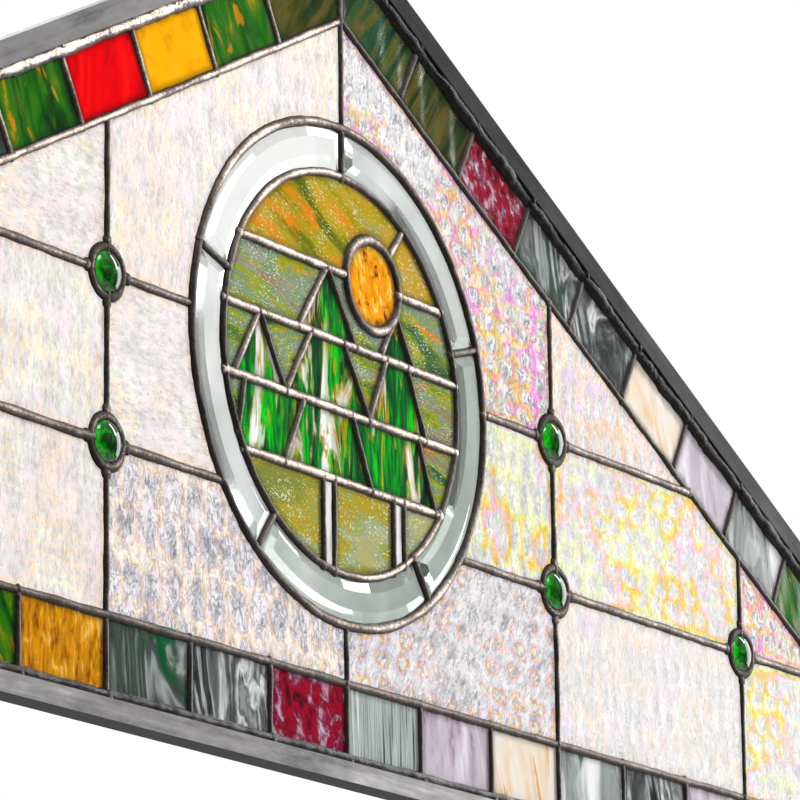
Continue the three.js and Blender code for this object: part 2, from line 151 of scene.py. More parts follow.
# ---- Camera, light and floor ----
CAMERA_AIM = (62 * MM, -6 * MM, 259 * MM)
CAMERA_DISTANCE = 3.1695
CAMERA_AZIMUTH = math.radians(-56.39)
CAMERA_ELEVATION = math.radians(-15.05)
CAMERA_ROLL = math.radians(-0.76)
CAMERA_LENS = 221.9            # millimetres, as is the sensor
CAMERA_SENSOR = 36
CAMERA_REACH = 50
FLOOR_DROP = 0.85
FLOOR_HALF = 6.0
ROOM_LIGHT = 0.2               # dim in front, so that polished faces stay deep
SWEEP_LIGHT = 0.62             # brighter behind the glass
CEILING_LIGHT = 0.7
# Each softbox: its bearing across and up in degrees, how far away it is, its size and its power.
SOFTBOXES = {
    "key_softbox": ((-25, 55), 3.0, (1.4, 1.0), 62),
    "right_softbox": ((66, 32), 3.2, (0.4, 1.2), 22),
    "edge_softbox": ((81, 10), 3.0, (1.6, 1.6), 36),
    "back_softbox": ((160, 35), 3.0, (1.5, 1.5), 30),
}


def toward(azimuth, elevation):
    """The direction from the panel to something at that bearing: 0 is straight out of the front."""
    level = math.cos(elevation)
    return Vector((math.sin(azimuth) * level, -math.cos(azimuth) * level, math.sin(elevation)))


def placed(name, data):
    """An object with that data, added to the scene."""
    made = bpy.data.objects.new(name, data)
    bpy.context.scene.collection.objects.link(made)
    return made


def set_camera():
    lens = bpy.data.cameras.new("camera")
    lens.lens = CAMERA_LENS
    lens.sensor_width = CAMERA_SENSOR
    lens.clip_end = CAMERA_REACH
    camera = placed("camera", lens)
    camera.location = Vector(CAMERA_AIM) + CAMERA_DISTANCE * toward(CAMERA_AZIMUTH, CAMERA_ELEVATION)
    upright = Euler((math.pi / 2 - CAMERA_ELEVATION, 0, CAMERA_AZIMUTH), "XYZ").to_matrix()
    roll = Euler((0, 0, CAMERA_ROLL), "XYZ").to_matrix()
    camera.rotation_euler = (upright @ roll).to_euler()
    bpy.context.scene.camera = camera


def softbox(name, bearing, distance, size, power):
    light = bpy.data.lights.new(name, "AREA")
    light.shape = "RECTANGLE"
    light.size, light.size_y = size
    light.energy = power
    lamp = placed(name, light)
    aim = Vector(CAMERA_AIM)
    lamp.location = aim + distance * toward(math.radians(bearing[0]), math.radians(bearing[1]))
    lamp.rotation_euler = (lamp.location - aim).to_track_quat("Z", "Y").to_euler()


def operator(operation, reflected=False):
    """An arithmetic method that adds one Math node."""
    def method(self, other):
        values = (other, self) if reflected else (self, other)
        return self.network.maths(operation, *values)
    return method


class Value:
    """A number that varies over a surface. Arithmetic on it adds Math nodes to its network."""

    def __init__(self, network, socket):
        self.network = network
        self.socket = socket

    __add__ = __radd__ = operator("ADD")
    __sub__ = operator("SUBTRACT")
    __rsub__ = operator("SUBTRACT", reflected=True)
    __mul__ = __rmul__ = operator("MULTIPLY")
    __truediv__ = operator("DIVIDE")
    __mod__ = operator("FLOORED_MODULO")
    __pow__ = operator("POWER")

    def rounded(self):
        return self.network.maths("ROUND", self)

    def size(self):
        """The value without its sign."""
        return self.network.maths("ABSOLUTE", self)

    def clipped(self, low=0.0, high=1.0):
        """Held to between low and high, then stretched to run from 0 to 1."""
        return self.network.node("MapRange", {"clamp": True}, {0: self, 1: low, 2: high, 3: 0.0, 4: 1.0})


class Network:
    """A node tree that is built by naming its nodes one at a time."""

    def __init__(self, tree):
        self.tree = tree

    def give(self, node, sockets):
        for key, value in sockets.items():
            socket = node.inputs[key]
            if isinstance(value, Value):
                self.tree.links.new(value.socket, socket)
            elif isinstance(value, tuple) and len(value) == 3 and socket.type == "RGBA":
                socket.default_value = (*value, 1)
            else:
                socket.default_value = value

    def node(self, kind, settings=None, sockets=None, output=0):
        node = self.tree.nodes.new("ShaderNode" + kind)
        for key, value in (settings or {}).items():
            if key == "colours":
                ramp = node.color_ramp
                while len(ramp.elements) < len(value):
                    ramp.elements.new(0.5)
                for i, colour in enumerate(value):
                    ramp.elements[i].position = i / (len(value) - 1)
                    ramp.elements[i].color = (*colour, 1)
            else:
                setattr(node, key, value)
        self.give(node, sockets or {})
        return Value(self, node.outputs[output])

    def maths(self, operation, *values):
        return self.node("Math", {"operation": operation}, dict(enumerate(values)))

    def parts(self, vector):
        return [self.node("SeparateXYZ", {}, {"Vector": vector}, axis) for axis in ("X", "Y", "Z")]

    def cloud(self, place, scale=1.0, detail=2.0, roughness=0.5, distortion=0.0):
        sockets = {
            "Vector": place,
            "Scale": scale,
            "Detail": detail,
            "Roughness": roughness,
            "Distortion": distortion,
        }
        return self.node("TexNoise", {}, sockets, "Fac")


def set_light():
    """A white sweep behind, dimmer light in front and softboxes to catch on the solder."""
    world = bpy.data.worlds.new("studio")
    world.use_nodes = True
    room = Network(world.node_tree)
    bearing = room.node("TexCoord", output="Generated")
    _, behind, above = room.parts(bearing)
    panels = room.cloud(bearing, scale=3.2, detail=1).clipped(0.4, 0.6)
    sweep = behind.clipped(-0.1, 0.45) * above.clipped(-0.12, 0.1) * (SWEEP_LIGHT + 0.45 * panels)
    ceiling = above.clipped(0.1, 0.8) * CEILING_LIGHT
    lit = ROOM_LIGHT * above.clipped(-0.9, 0.3) + sweep + ceiling
    seen = room.node("LightPath", output="Is Camera Ray")
    strength = seen + (1 - seen) * lit
    room.give(world.node_tree.nodes["Background"], {"Color": (1.0, 1.0, 1.0), "Strength": strength})
    bpy.context.scene.world = world
    bpy.context.scene.view_settings.view_transform = "Standard"
    for name, setting in SOFTBOXES.items():
        softbox(name, *setting)


class Shade(Network):
    """One material, its nodes and its surface shader."""

    def __init__(self, name, **constants):
        self.material = bpy.data.materials.new(name)
        self.material.use_nodes = True
        super().__init__(self.material.node_tree)
        self.surface = self.tree.nodes["Principled BSDF"]
        self.place = self.node("TexCoord", output="Object")
        self.finish(**constants)

    def pattern(self, scale, turn=0.0, **character):
        """Noise on the panel's own coordinates, turned in its plane and scaled on each axis."""
        turned = self.node("Mapping", {}, {"Vector": self.place, "Rotation": (0.0, turn, 0.0)})
        scaled = self.node("Mapping", {}, {"Vector": turned, "Scale": scale})
        return self.cloud(scaled, **character)

    def thumbprints(self, across, up, wander=1.0):
        """Rows of dimples, staggered as hammered() has them: 1 in the middle of each, near 0 between."""
        side, _, height = self.parts(self.place)
        wobble = (self.pattern((110, 110, 80), detail=3) - 0.5) * wander
        row = (height / up).rounded()
        shift = row % 2 * 0.5
        column = (side / across - shift).rounded()
        jitter = 0.18 * self.maths("SINE", column * 12.9 + row * 78.2)
        side = side / across - shift - column - jitter + wobble
        height = height / up - row - 0.5 * jitter - wobble
        return self.maths("EXPONENT", -7 * (side * side + height * height))

    def mark(self, name):
        """A value that was stored with the mesh."""
        return self.node("Attribute", {"attribute_name": name}, output="Fac")

    def ramp(self, factor, colours):
        return self.node("ValToRGB", {"colours": colours}, {"Fac": factor}, "Color")

    def blend(self, factor, below, above, how="MIX"):
        settings = {"data_type": "RGBA", "blend_type": how, "clamp_result": True}
        return self.node("Mix", settings, {0: factor, 6: below, 7: above}, 2)

    def relief(self, height, strength, distance):
        sockets = {"Height": height, "Strength": strength, "Distance": distance}
        return self.node("Bump", {}, sockets)

    def finish(self, **sockets):
        self.give(self.surface, {key.replace("_", " "): value for key, value in sockets.items()})
        return self.material


# ---- Finishes ----
GLASS_IOR = 1.25
GLASS_GLOSS = 0.4
ORANGE = (0.85, 0.28, 0.0)
CURLY_INK = (0.20, 0.21, 0.25)
GOLD_ROSE = [
    (1.0, 0.58, 0.05), (1.0, 0.92, 0.50), (1.0, 0.26, 0.78), (0.84, 0.42, 1.0),
    (1.0, 0.76, 0.25), (0.72, 1.0, 0.76), (1.0, 0.32, 0.72), (1.0, 0.58, 0.05),
]
GOLD_LEAF = [
    (1.0, 0.60, 0.04), (1.0, 0.86, 0.14), (0.80, 1.0, 0.74), (1.0, 0.93, 0.46),
    (0.80, 1.0, 0.92), (0.98, 0.60, 0.90), (1.0, 0.60, 0.04),
]
PEACH = [
    (1.0, 0.80, 0.62), (1.0, 0.90, 0.78), (1.0, 0.72, 0.48), (1.0, 0.88, 0.80),
    (0.86, 0.76, 1.0), (1.0, 0.80, 0.62),
]
BANDED = [
    (1.0, 0.95, 0.88), (1.0, 0.95, 0.88), (1.0, 0.93, 0.84), (1.0, 0.78, 0.56),
    (0.90, 0.82, 1.0), (0.97, 0.96, 1.0), (0.97, 0.98, 1.0), (0.95, 0.96, 1.0),
]
RINGED = [
    (0.96, 1.0, 0.96), (0.82, 0.86, 1.0), (0.90, 0.72, 0.98), (1.0, 0.58, 0.20),
    (1.0, 0.78, 0.46), (1.0, 0.94, 0.86),
]
PEARL = [
    (1.0, 0.84, 0.66), (1.0, 0.94, 0.78), (0.90, 0.96, 0.90), (0.94, 0.85, 0.94),
    (1.0, 0.86, 0.80), (1.0, 0.84, 0.66),
]


def zinc(name, tones, slope=0.0, peak_shade=0.0):
    """Zinc brushed along its length and stained, with painted shade blackening its downward faces and, where
    asked, a painted dark reflection darkening it toward the peak.
    """
    shade = Shade(name, Specular_IOR_Level=0.0)
    brushed = shade.pattern((14, 260, 260), slope, detail=4, roughness=0.6)
    stains = shade.pattern((20, 60, 60), slope, detail=5, roughness=0.65)
    flux = shade.pattern((7, 20, 20), detail=3)
    tone = (stains * 0.45 + flux * 0.3 + brushed * 0.25).clipped(0.35, 0.65)
    # Painted shade: the more a face looks down, the darker and less metallic it is painted.
    _, _, facing = shade.parts(shade.node("TexCoord", output="Normal"))
    above = (1 + facing).clipped(0.1, 0.6)
    # Painted dark reflection: with a peak shade the bar is painted darker toward the peak.
    _, _, height = shade.parts(shade.place)
    lit_share = 1 - peak_shade * height.clipped(0.05, 0.5)
    return shade.finish(
        Base_Color=shade.ramp(tone * above * lit_share, [(value, value * 0.97, value * 0.96) for value in tones]),
        Metallic=above * lit_share,
        Roughness=0.34 + 0.2 * brushed,
        Normal=shade.relief(brushed * 0.5 + stains, 0.3, 0.2 * MM),
    )


def solder(name, tones, sheen):
    """Solder with patina black in the corners, pitted and stained all over, and lighter toward the top of its
    bead: partly rubbed bright, partly a painted highlight.
    """
    shade = Shade(name, Metallic=0.9)
    mottle = shade.pattern((380, 380, 380), detail=4, roughness=0.75)
    drift = shade.pattern((40, 40, 40), detail=3)
    # The mark carries both the rubbed top of the bead and its painted highlight and shade.
    tone = shade.mark("crest") * (1.1 + (mottle - 0.5) * 2.4 + (drift - 0.5) * 1.8)
    return shade.finish(
        Base_Color=shade.ramp(tone.clipped(), [(value, value * 0.79, value * 0.67) for value in tones]),
        Roughness=sheen * (1 + 1.5 * mottle),
        Normal=shade.relief(mottle, 0.8, 0.8 * MM),
    )


def iridescent(name, film, strength, ink, dark, dimple, mess=1.0, thin=0.0,
               rings=False, bands=False, fade=None, slant=0.0):
    """White rolled glass with an oil-film sheen between its dimples and curly grey marks inside them.

    The dimple's size is in millimetres. The film can gather in rings round the dimples or lie in
    bands across them, and with fade it thins out from that height upward.
    """
    shade = Shade(name, Transmission_Weight=0.15, IOR=GLASS_IOR, Specular_IOR_Level=GLASS_GLOSS)
    drift = shade.pattern((9, 9, 8), detail=3)
    patch = shade.pattern((75, 75, 50), slant, detail=4, roughness=0.7)
    grain = shade.pattern((360, 360, 150), slant, detail=4, roughness=0.75)
    curl = shade.pattern((140, 140, 90), slant, detail=4, roughness=0.65, distortion=1.0)
    line = 1 - ((curl - 0.5).size() * 15).clipped()
    cell = shade.thumbprints(dimple[0] * MM, dimple[1] * MM, 0.6 if rings else 1.0)
    rim = shade.mark("rim")
    between = (0.9 - thin - 1.2 * cell + mess * ((grain - 0.5) * 1.6 + (patch - 0.5) * 1.8)).clipped(0.1, 0.8)
    hue = drift * 4 + cell * 0.4 + mess * patch * 1.6 + rim * 0.6
    if rings:
        ring = (cell * (1 - cell) * 4) ** 4 * (drift * 5 - 2).clipped(0.1, 0.6)
        between = 0.2 * between + 1.6 * ring * patch
        hue = cell + (patch - 0.5) * 0.5
    if bands:
        cell = cell ** 0.5
        between = 0.6 + 0.8 * patch
        hue = (cell + (patch - 0.5) * 0.5).clipped(0.0, 1.02)
    if fade:
        _, _, height = shade.parts(shade.place)
        between = between * ((drift - 0.5) * 0.4 - height + fade).clipped(0.0, 0.06)
    sheen = (between + rim * 0.6) * strength
    # Lighter and darker grain over the white glass: partly its own texture, partly painted shading of its
    # relief and painted glints; the dark colour is its shaded end.
    gloss = grain * 0.6 + patch * 0.4 + between * 0.1
    if bands:
        gloss = gloss + (0.06 - 0.16 * cell)
    silver = shade.ramp(gloss.clipped(0.38, 0.66), [dark, (0.80, 0.77, 0.75), (0.98, 0.95, 0.93)])
    silver = shade.blend((line * ink * (0.35 + 0.65 * cell)).clipped(), silver, CURLY_INK)
    return shade.finish(
        Base_Color=shade.blend(sheen.clipped(), silver, shade.ramp(hue % 1.0, film), "MULTIPLY"),
        Roughness=0.16 + 0.25 * grain,
        Normal=shade.relief(patch + grain * 0.3, 0.6, 0.8 * MM),
    )


def streaky(name, colours, turn=0.0, grain=(60, 60, 12), warp=1.4, spread=0.18, wisps=(),
            seed_glints=0.0, edge=1.0, clear=0.6, gloss=GLASS_GLOSS):
    """Art glass of several colours pulled into streaks, with painted shadow of its solder darkening it along
    its edges.

    Each wisp is a colour over the streaks, the scale of its grain and how much grain it leaves out.
    """
    shade = Shade(name, Transmission_Weight=clear, IOR=GLASS_IOR, Specular_IOR_Level=gloss)
    streak = shade.pattern(grain, turn, detail=4, roughness=0.55, distortion=warp)
    colour = shade.ramp(streak.clipped(0.5 - spread, 0.5 + spread), colours)
    for wisp_colour, scale, share in wisps:
        wisp = shade.pattern(scale, turn, detail=4, roughness=0.6, distortion=warp * 0.6)
        colour = shade.blend(wisp.clipped(share, share + 0.04), colour, wisp_colour)
    # Painted glints: white specks standing for light caught by seeds in the glass.
    if seed_glints:
        seed_glint = shade.pattern((seed_glints, seed_glints, 0.45 * seed_glints), turn, detail=2, roughness=0.6)
        sparse = shade.pattern((30, 30, 30), detail=3, roughness=0.7).clipped(0.36, 0.6)
        colour = shade.blend((seed_glint + 0.12 * sparse).clipped(0.69, 0.73), colour, (1.0, 1.0, 0.88))
    # Painted shadow: the glass is darkened along its edges, where the solder's shadow falls; edge sets how
    # much.
    colour = shade.blend(shade.mark("rim").clipped(0.1, 1.2) * edge, colour, (0.0, 0.0, 0.0))
    wave = shade.pattern((70, 70, 20), turn, detail=2)
    return shade.finish(
        Base_Color=colour,
        Roughness=0.06 + 0.12 * streak,
        Normal=shade.relief(wave + streak * 0.3, 0.5, 0.8 * MM),
    )


def clear_bevel():
    """Clear glass with painted light: brighter up and to the left, where it faces the light."""
    shade = Shade("clear_bevel", Roughness=0.02, Transmission_Weight=0.9, IOR=1.5)
    side, _, height = shade.parts(shade.place)
    tone = shade.pattern((16, 16, 16), detail=3) + (height - CENTRE[1] - side) * 1.6
    return shade.finish(Base_Color=shade.ramp(tone.clipped(0.2, 0.8), [
        (0.44, 0.49, 0.45), (0.60, 0.65, 0.61), (0.78, 0.81, 0.79), (0.97, 0.98, 0.96)]))


def jewel_green():
    """Green glass with painted light: lighter where it faces left, and a painted reflection of the pale panes
    on its right.
    """
    shade = Shade("jewel_green", Roughness=0.03, Transmission_Weight=0.35, IOR=1.4)
    depth = shade.pattern((190, 190, 130), detail=3, distortion=1.0)
    side, _, _ = shade.parts(shade.node("TexCoord", output="Normal"))
    # Painted light by which way the surface faces: lighter to the left, pale on the right.
    green = shade.ramp((depth * 3 - side * 1.4).clipped(0.9, 3.2), [
        (0.0, 0.008, 0.0), (0.0, 0.05, 0.0), (0.0, 0.25, 0.0), (0.0, 0.70, 0.0), (0.0, 0.85, 0.0)])
    return shade.finish(Base_Color=shade.blend(side.clipped(0.3, 0.55), green, (0.72, 0.78, 0.74)))


ROOF_TILT = math.atan(ROOF_SLOPE)
# Three copies of one zinc, painted lighter and darker for how the light falls: the rail lightest, the left
# rafter darker, the right rafter darkest.
RAIL_ZINC = zinc("rail_zinc", (0.05, 0.24, 0.36, 0.62))
LEFT_ZINC = zinc("left_zinc", (0.04, 0.15, 0.21, 0.38), ROOF_TILT)
RIGHT_ZINC = zinc("right_zinc", (0.006, 0.03, 0.07, 0.17), -ROOF_TILT, 0.6)
PATINA = solder("patina_solder", (0.006, 0.022, 0.07, 0.17, 0.36, 0.8), 0.2)
COLLAR_SOLDER = solder("collar_solder", (0.003, 0.012, 0.03, 0.055, 0.09, 0.4), 0.3)
BLACK_SOLDER = solder("black_solder", (0.003, 0.005, 0.012, 0.05, 0.3, 0.85), 0.07)


# ---- Mesh making ----
def stand_up(plan, out):
    """World places of plan points that stand out in front of the glass."""
    plan = np.asarray(plan, float)
    out = np.broadcast_to(np.asarray(out, float), len(plan))
    return np.column_stack([plan[:, 0], GLASS_PLANE - out, plan[:, 1]])


def piece(name, points, faces, material, nodes, sharp=180, marks=None):
    """One visible piece of the panel, in place of the plain pieces named."""
    mesh = bpy.data.meshes.new(name)
    mesh.from_pydata(np.asarray(points).tolist(), [], faces)
    for key, values in (marks or {}).items():
        mesh.attributes.new(key, "FLOAT", "POINT").data.foreach_set("value", np.asarray(values, np.float32))
    work = bmesh.new()
    work.from_mesh(mesh)
    bmesh.ops.recalc_face_normals(work, faces=work.faces)
    for face in work.faces:
        face.smooth = True
    limit = math.radians(sharp)
    for edge in work.edges:
        edge.smooth = edge.calc_face_angle(0) < limit
    work.to_mesh(mesh)
    work.free()
    mesh.materials.append(material)
    made = placed(name, mesh)
    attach(made, "root")
    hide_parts(*nodes)


class Heap:
    """Several runs of solder gathered into one mesh, with a mark at each point for its rubbed brightness and
    its painted light and shade.
    """

    def __init__(self):
        self.points = []
        self.faces = []
        self.crest = []

    def add(self, points, faces, crest):
        start = len(self.crest)
        self.points.append(np.asarray(points))
        self.faces.extend([tuple(i + start for i in face) for face in faces])
        self.crest.extend(crest)

    def piece(self, name, material):
        points = np.vstack(self.points)
        piece(name, points, self.faces, material, ["solder_net"], marks={"crest": self.crest})


def tube_faces(rows, around, closed=False):
    """Faces over sections that follow each other, with ends unless the last meets the first."""
    faces = []
    for i in range(rows if closed else rows - 1):
        j = (i + 1) % rows
        for k in range(around):
            m = (k + 1) % around
            faces.append((i * around + k, i * around + m, j * around + m, j * around + k))
    if not closed:
        faces.append(tuple(range(around)))
        faces.append(tuple((rows - 1) * around + k for k in reversed(range(around))))
    return faces


def ball_faces(rows, around):
    """Faces over a first point, rows of points that each go once around, and a last point."""
    faces = [(0, 1 + k, 1 + (k + 1) % around) for k in range(around)]
    for row in range(rows - 1):
        base = 1 + row * around
        for k in range(around):
            m = (k + 1) % around
            faces.append((base + k, base + around + k, base + around + m, base + m))
    last, base = 1 + rows * around, 1 + (rows - 1) * around
    return faces + [(last, base + (k + 1) % around, base + k) for k in range(around)]


def area(outline):
    across, up = outline.T
    return 0.5 * float(np.sum(across * np.roll(up, -1) - up * np.roll(across, -1)))


def cad_outline(node):
    """The front outline of a flat pane as it was laid out, anticlockwise."""
    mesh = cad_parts[node].data
    places = np.array([vertex.co for vertex in mesh.vertices])
    near, same = 0.1 * MM, 0.02 * MM
    front = places[:, 1].min() + near
    key = [tuple(np.round(place[[0, 2]] / same).astype(int)) for place in places]
    follow = {}
    for polygon in mesh.polygons:
        ring = list(polygon.vertices)
        if all(places[i, 1] < front for i in ring):
            for a, b in zip(ring, ring[1:] + ring[:1]):
                if (key[b], key[a]) in follow:
                    del follow[(key[b], key[a])]
                else:
                    follow[(key[a], key[b])] = places[a, [0, 2]]
    start_at = {pair[0]: (pair[1], place) for pair, place in follow.items()}
    at = next(iter(start_at))
    outline = []
    while at in start_at:
        following, place = start_at.pop(at)
        outline.append(place)
        at = following
    outline = np.array(outline)
    return outline if area(outline) > 0 else outline[::-1]


def grown(outline, by):
    """The outline with every side moved outward."""
    before = outline - np.roll(outline, 1, axis=0)
    after = np.roll(outline, -1, axis=0) - outline
    before /= np.linalg.norm(before, axis=1)[:, None]
    after /= np.linalg.norm(after, axis=1)[:, None]
    normal_before = np.column_stack([before[:, 1], -before[:, 0]])
    normal_after = np.column_stack([after[:, 1], -after[:, 0]])
    middle = normal_before + normal_after
    spread = np.maximum(np.sum(middle * normal_after, axis=1), 0.35)
    return outline + by * middle / spread[:, None]


def spaced(outline, step):
    """The outline with points added so that no side is longer than step."""
    points = []
    for start, end in zip(outline, np.roll(outline, -1, axis=0)):
        count = max(1, math.ceil(np.linalg.norm(end - start) / step))
        for i in range(count):
            points.append(start + (end - start) * i / count)
    return np.array(points)


def clearance(points, rim):
    """How far each point is inside the rim; negative outside it."""
    start, end = rim, np.roll(rim, -1, axis=0)
    along = end - start
    away = points[:, None, :] - start[None]
    share = np.clip(np.sum(away * along, axis=2) / np.sum(along * along, axis=1), 0, 1)
    gap = np.linalg.norm(away - share[..., None] * along, axis=2).min(axis=1)
    crosses = (start[None, :, 1] > points[:, None, 1]) != (end[None, :, 1] > points[:, None, 1])
    rise = np.where(along[:, 1] == 0, 1e-12, along[:, 1])
    meets = start[:, 0] + (points[:, None, 1] - start[None, :, 1]) * along[:, 0] / rise
    inside = np.sum(crosses & (points[:, None, 0] < meets), axis=1) % 2 == 1
    return np.where(inside, gap, -gap)


def filled(rim, step):
    """Points and triangles that fill a rim, the rim's own points first."""
    low, high = rim.min(axis=0), rim.max(axis=0)
    rows = np.arange(low[1], high[1], step * math.sqrt(0.75))
    cols = np.arange(low[0], high[0] + step, step)
    across, up = np.meshgrid(cols, rows)
    across = across + (np.arange(len(rows)) % 2)[:, None] * step / 2
    grid = np.column_stack([across.ravel(), up.ravel()])
    grid = grid[clearance(grid, rim) > 0.55 * step]
    points = np.vstack([rim, grid])
    loop = [list(range(len(rim)))]
    found = delaunay_2d_cdt([Vector(point) for point in points], [], loop, 1, 1e-9)
    triangles = [tuple(face) for face in found[2]]
    return np.array([tuple(point) for point in found[0]]), triangles


# ---- Reliefs: how far the face of the glass rises or falls ----
def smooth_cloud(plan, across, up, seed=0.0):
    return np.array([noise.noise((x / across + seed, seed, z / up)) for x, z in plan])


def hammered(pitch_across, pitch_up, depth):
    """Rows of thumb-mark dimples, each row shifted half a dimple along."""
    def rise(plan):
        row = np.round(plan[:, 1] / pitch_up)
        shift = 0.5 * (row % 2)
        column = np.round(plan[:, 0] / pitch_across - shift)
        jitter = 0.18 * np.sin(column * 12.9 + row * 78.2)
        across = plan[:, 0] / pitch_across - shift - column - jitter
        up = plan[:, 1] / pitch_up - row - 0.5 * jitter
        return -depth * np.exp(-6 * (across ** 2 + up ** 2))
    return rise


def waved(across, up, depth, seed=0.0):
    return lambda plan: depth * smooth_cloud(plan, across, up, seed)


def pane(name, outline, material, nodes, relief, step=FACET, lap=LAP):
    """A sheet of rolled glass: textured front, flat back, and an edge all round under the solder."""
    rim = spaced(grown(outline, lap), step * 1.3)
    face, front = filled(rim, step)
    rear, back = filled(rim, step * 2.2)
    count = len(rim)
    settle = np.clip(clearance(face, rim) / (2 * step), 0, 1)
    rise = relief(face) * settle
    rim_mark = np.clip(1 - clearance(face, rim) / RIM_BAND, 0, 1)
    points = np.vstack([stand_up(face, GLASS_HALF + rise), stand_up(rear, -GLASS_HALF)])
    start = len(face)
    faces = list(front)
    faces += [tuple(start + i for i in reversed(triangle)) for triangle in back]
    faces += [(i, start + i, start + (i + 1) % count, (i + 1) % count) for i in range(count)]
    marks = {"rim": np.concatenate([rim_mark, np.zeros(len(rear))])}
    piece(name, points, faces, material, nodes, sharp=50, marks=marks)


# ---- Solder ----
BEAD_SIDES = 12
BEAD_STEP = 2.5 * MM
CREST_SHARPNESS = 5            # higher makes a narrower bright line, partly rubbed solder and partly painted highlight
# The way a run lies where its painted highlight is strongest.
HIGHLIGHT_LEAN = math.radians(29)
SWAY = 0.35 * MM
CLOSING = 6 * MM               # the stretch of a closed bead that evens out to meet its start
JOINT_AROUND = 14
JOINT_LEVELS = 8
JOINT_WIDTHS = (0.56, 0.76)    # a joint's radius as a share of its seam's width
JOINT_DEPTHS = (1.02, 1.1)     # its thickness as a share of its seam's
# How thick each kind of run is, from its front crest to its back crest.
DEPTH = {
    "field": 6.3 * MM, "roof": 6.6 * MM, "ring_outer": 7.2 * MM, "ring_inner": 6.8 * MM,
    "ring_joint": 6.9 * MM, "picture": 6.4 * MM, "sun": 6.6 * MM, "collar": 7 * MM,
    "collar_joint": 6.8 * MM, "border": 6 * MM, "edge": 10.4 * MM, "edge_joint": 11 * MM,
}


def lumps(distance, seed, fine=4 * MM, broad=17 * MM):
    """Unevenness along a hand-run bead, about -1 to 1."""
    return np.array([
        noise.noise((s / broad, seed, 0.5)) + 0.5 * noise.noise((s / fine, seed, 9.5))
        for s in distance
    ])


def painted_highlight(heading):
    """How much painted highlight a run gets by the way it lies: most where it climbs gently to the right,
    least square to that.
    """
    return 0.32 + 0.68 * np.cos(np.arctan2(heading[:, 1], heading[:, 0]) - HIGHLIGHT_LEAN) ** 4


def bead(heap, path, width, depth, closed=False, uneven=0.18, painted_light=None):
    """A rounded run of solder along a path, standing proud of both faces of the glass."""
    path = np.asarray(path, float)
    ring = np.vstack([path, path[:1]]) if closed else path
    legs = np.linalg.norm(np.diff(ring, axis=0), axis=1)
    total = legs.sum()
    marks = np.concatenate([[0], np.cumsum(legs)])
    count = max(3, round(total / BEAD_STEP))
    distance = np.linspace(0, total, count + 1)
    if closed:
        distance = distance[:-1]
    middle = np.column_stack([np.interp(distance, marks, ring[:, axis]) for axis in (0, 1)])
    if closed:
        heading = np.roll(middle, -1, axis=0) - np.roll(middle, 1, axis=0)
    else:
        heading = np.gradient(middle, axis=0)
    heading /= np.linalg.norm(heading, axis=1)[:, None]
    across = np.column_stack([-heading[:, 1], heading[:, 0]])
    seed = rng.uniform(0, 900)
    fade = np.ones(len(distance))
    if closed:
        fade = np.clip(np.minimum(distance, total - distance) / CLOSING, 0, 1)
    swell = 1 + uneven * lumps(distance, seed) * fade
    rise = 1 + uneven * lumps(distance, seed + 31) * fade
    sway = SWAY * lumps(distance, seed + 77, broad=30 * MM) * fade
    if not closed:
        taper = np.ones(len(distance))
        taper[0] = taper[-1] = 0.3
        swell, rise = swell * taper, rise * taper
    points = []
    for i, place in enumerate(middle):
        for k in range(BEAD_SIDES):
            turn = 2 * math.pi * k / BEAD_SIDES
            lateral = sway[i] + 0.5 * width * swell[i] * math.cos(turn)
            at = place + across[i] * lateral
            points.append((at[0], GLASS_PLANE - 0.5 * depth * rise[i] * math.sin(turn), at[1]))
    # Painted highlight: lighter toward the top of the bead, partly rubbed solder, scaled by the painted light
    # and shade of the run.
    crest = [abs(math.sin(2 * math.pi * k / BEAD_SIDES)) ** CREST_SHARPNESS for k in range(BEAD_SIDES)]
    painted_light = painted_highlight(heading) if painted_light is None else np.full(len(middle), painted_light)
    faces = tube_faces(len(middle), BEAD_SIDES, closed)
    heap.add(points, faces, np.outer(painted_light, crest).ravel())


def joint(heap, at, radius, depth, painted_light=0.5):
    """The small puddle of solder where seams meet."""
    seed = rng.uniform(0, 900)
    points = [(at[0], GLASS_PLANE - depth / 2, at[1])]
    # Painted highlight: lighter toward the puddle's front and back, partly rubbed solder, scaled by its
    # painted light.
    crest = [1.0]
    for level in range(1, JOINT_LEVELS):
        tilt = math.pi * level / JOINT_LEVELS
        crest += [abs(math.cos(tilt)) ** 3] * JOINT_AROUND
        for k in range(JOINT_AROUND):
            turn = 2 * math.pi * k / JOINT_AROUND
            uneven = 1 + 0.2 * noise.noise((math.cos(turn) + seed, math.sin(turn), 3))
            reach = radius * math.sin(tilt) * uneven
            points.append((
                at[0] + reach * math.cos(turn),
                GLASS_PLANE - depth / 2 * math.cos(tilt),
                at[1] + reach * math.sin(turn),
            ))
    points.append((at[0], GLASS_PLANE + depth / 2, at[1]))
    crest.append(1.0)
    heap.add(points, ball_faces(JOINT_LEVELS - 1, JOINT_AROUND), painted_light * np.array(crest))


def circle(centre, radius, steps=96):
    return [centre + polar(radius, 2 * math.pi * i / steps) for i in range(steps)]


def chord(rise, radius):
    return math.sqrt(radius ** 2 - rise ** 2)


def seam(heap, start, end, width=SEAM_WIDTH, depth=DEPTH["field"], painted_light=None):
    bead(heap, [start, end], width, depth, painted_light=painted_light)
    for at in (start, end):
        joint(heap, at, width * rng.uniform(*JOINT_WIDTHS), depth * rng.uniform(*JOINT_DEPTHS), painted_light or 0.5)


SIDES = (("left", -1), ("right", 1))


def roof_height(across):
    return FIELD_PEAK - ROOF_SLOPE * abs(across)


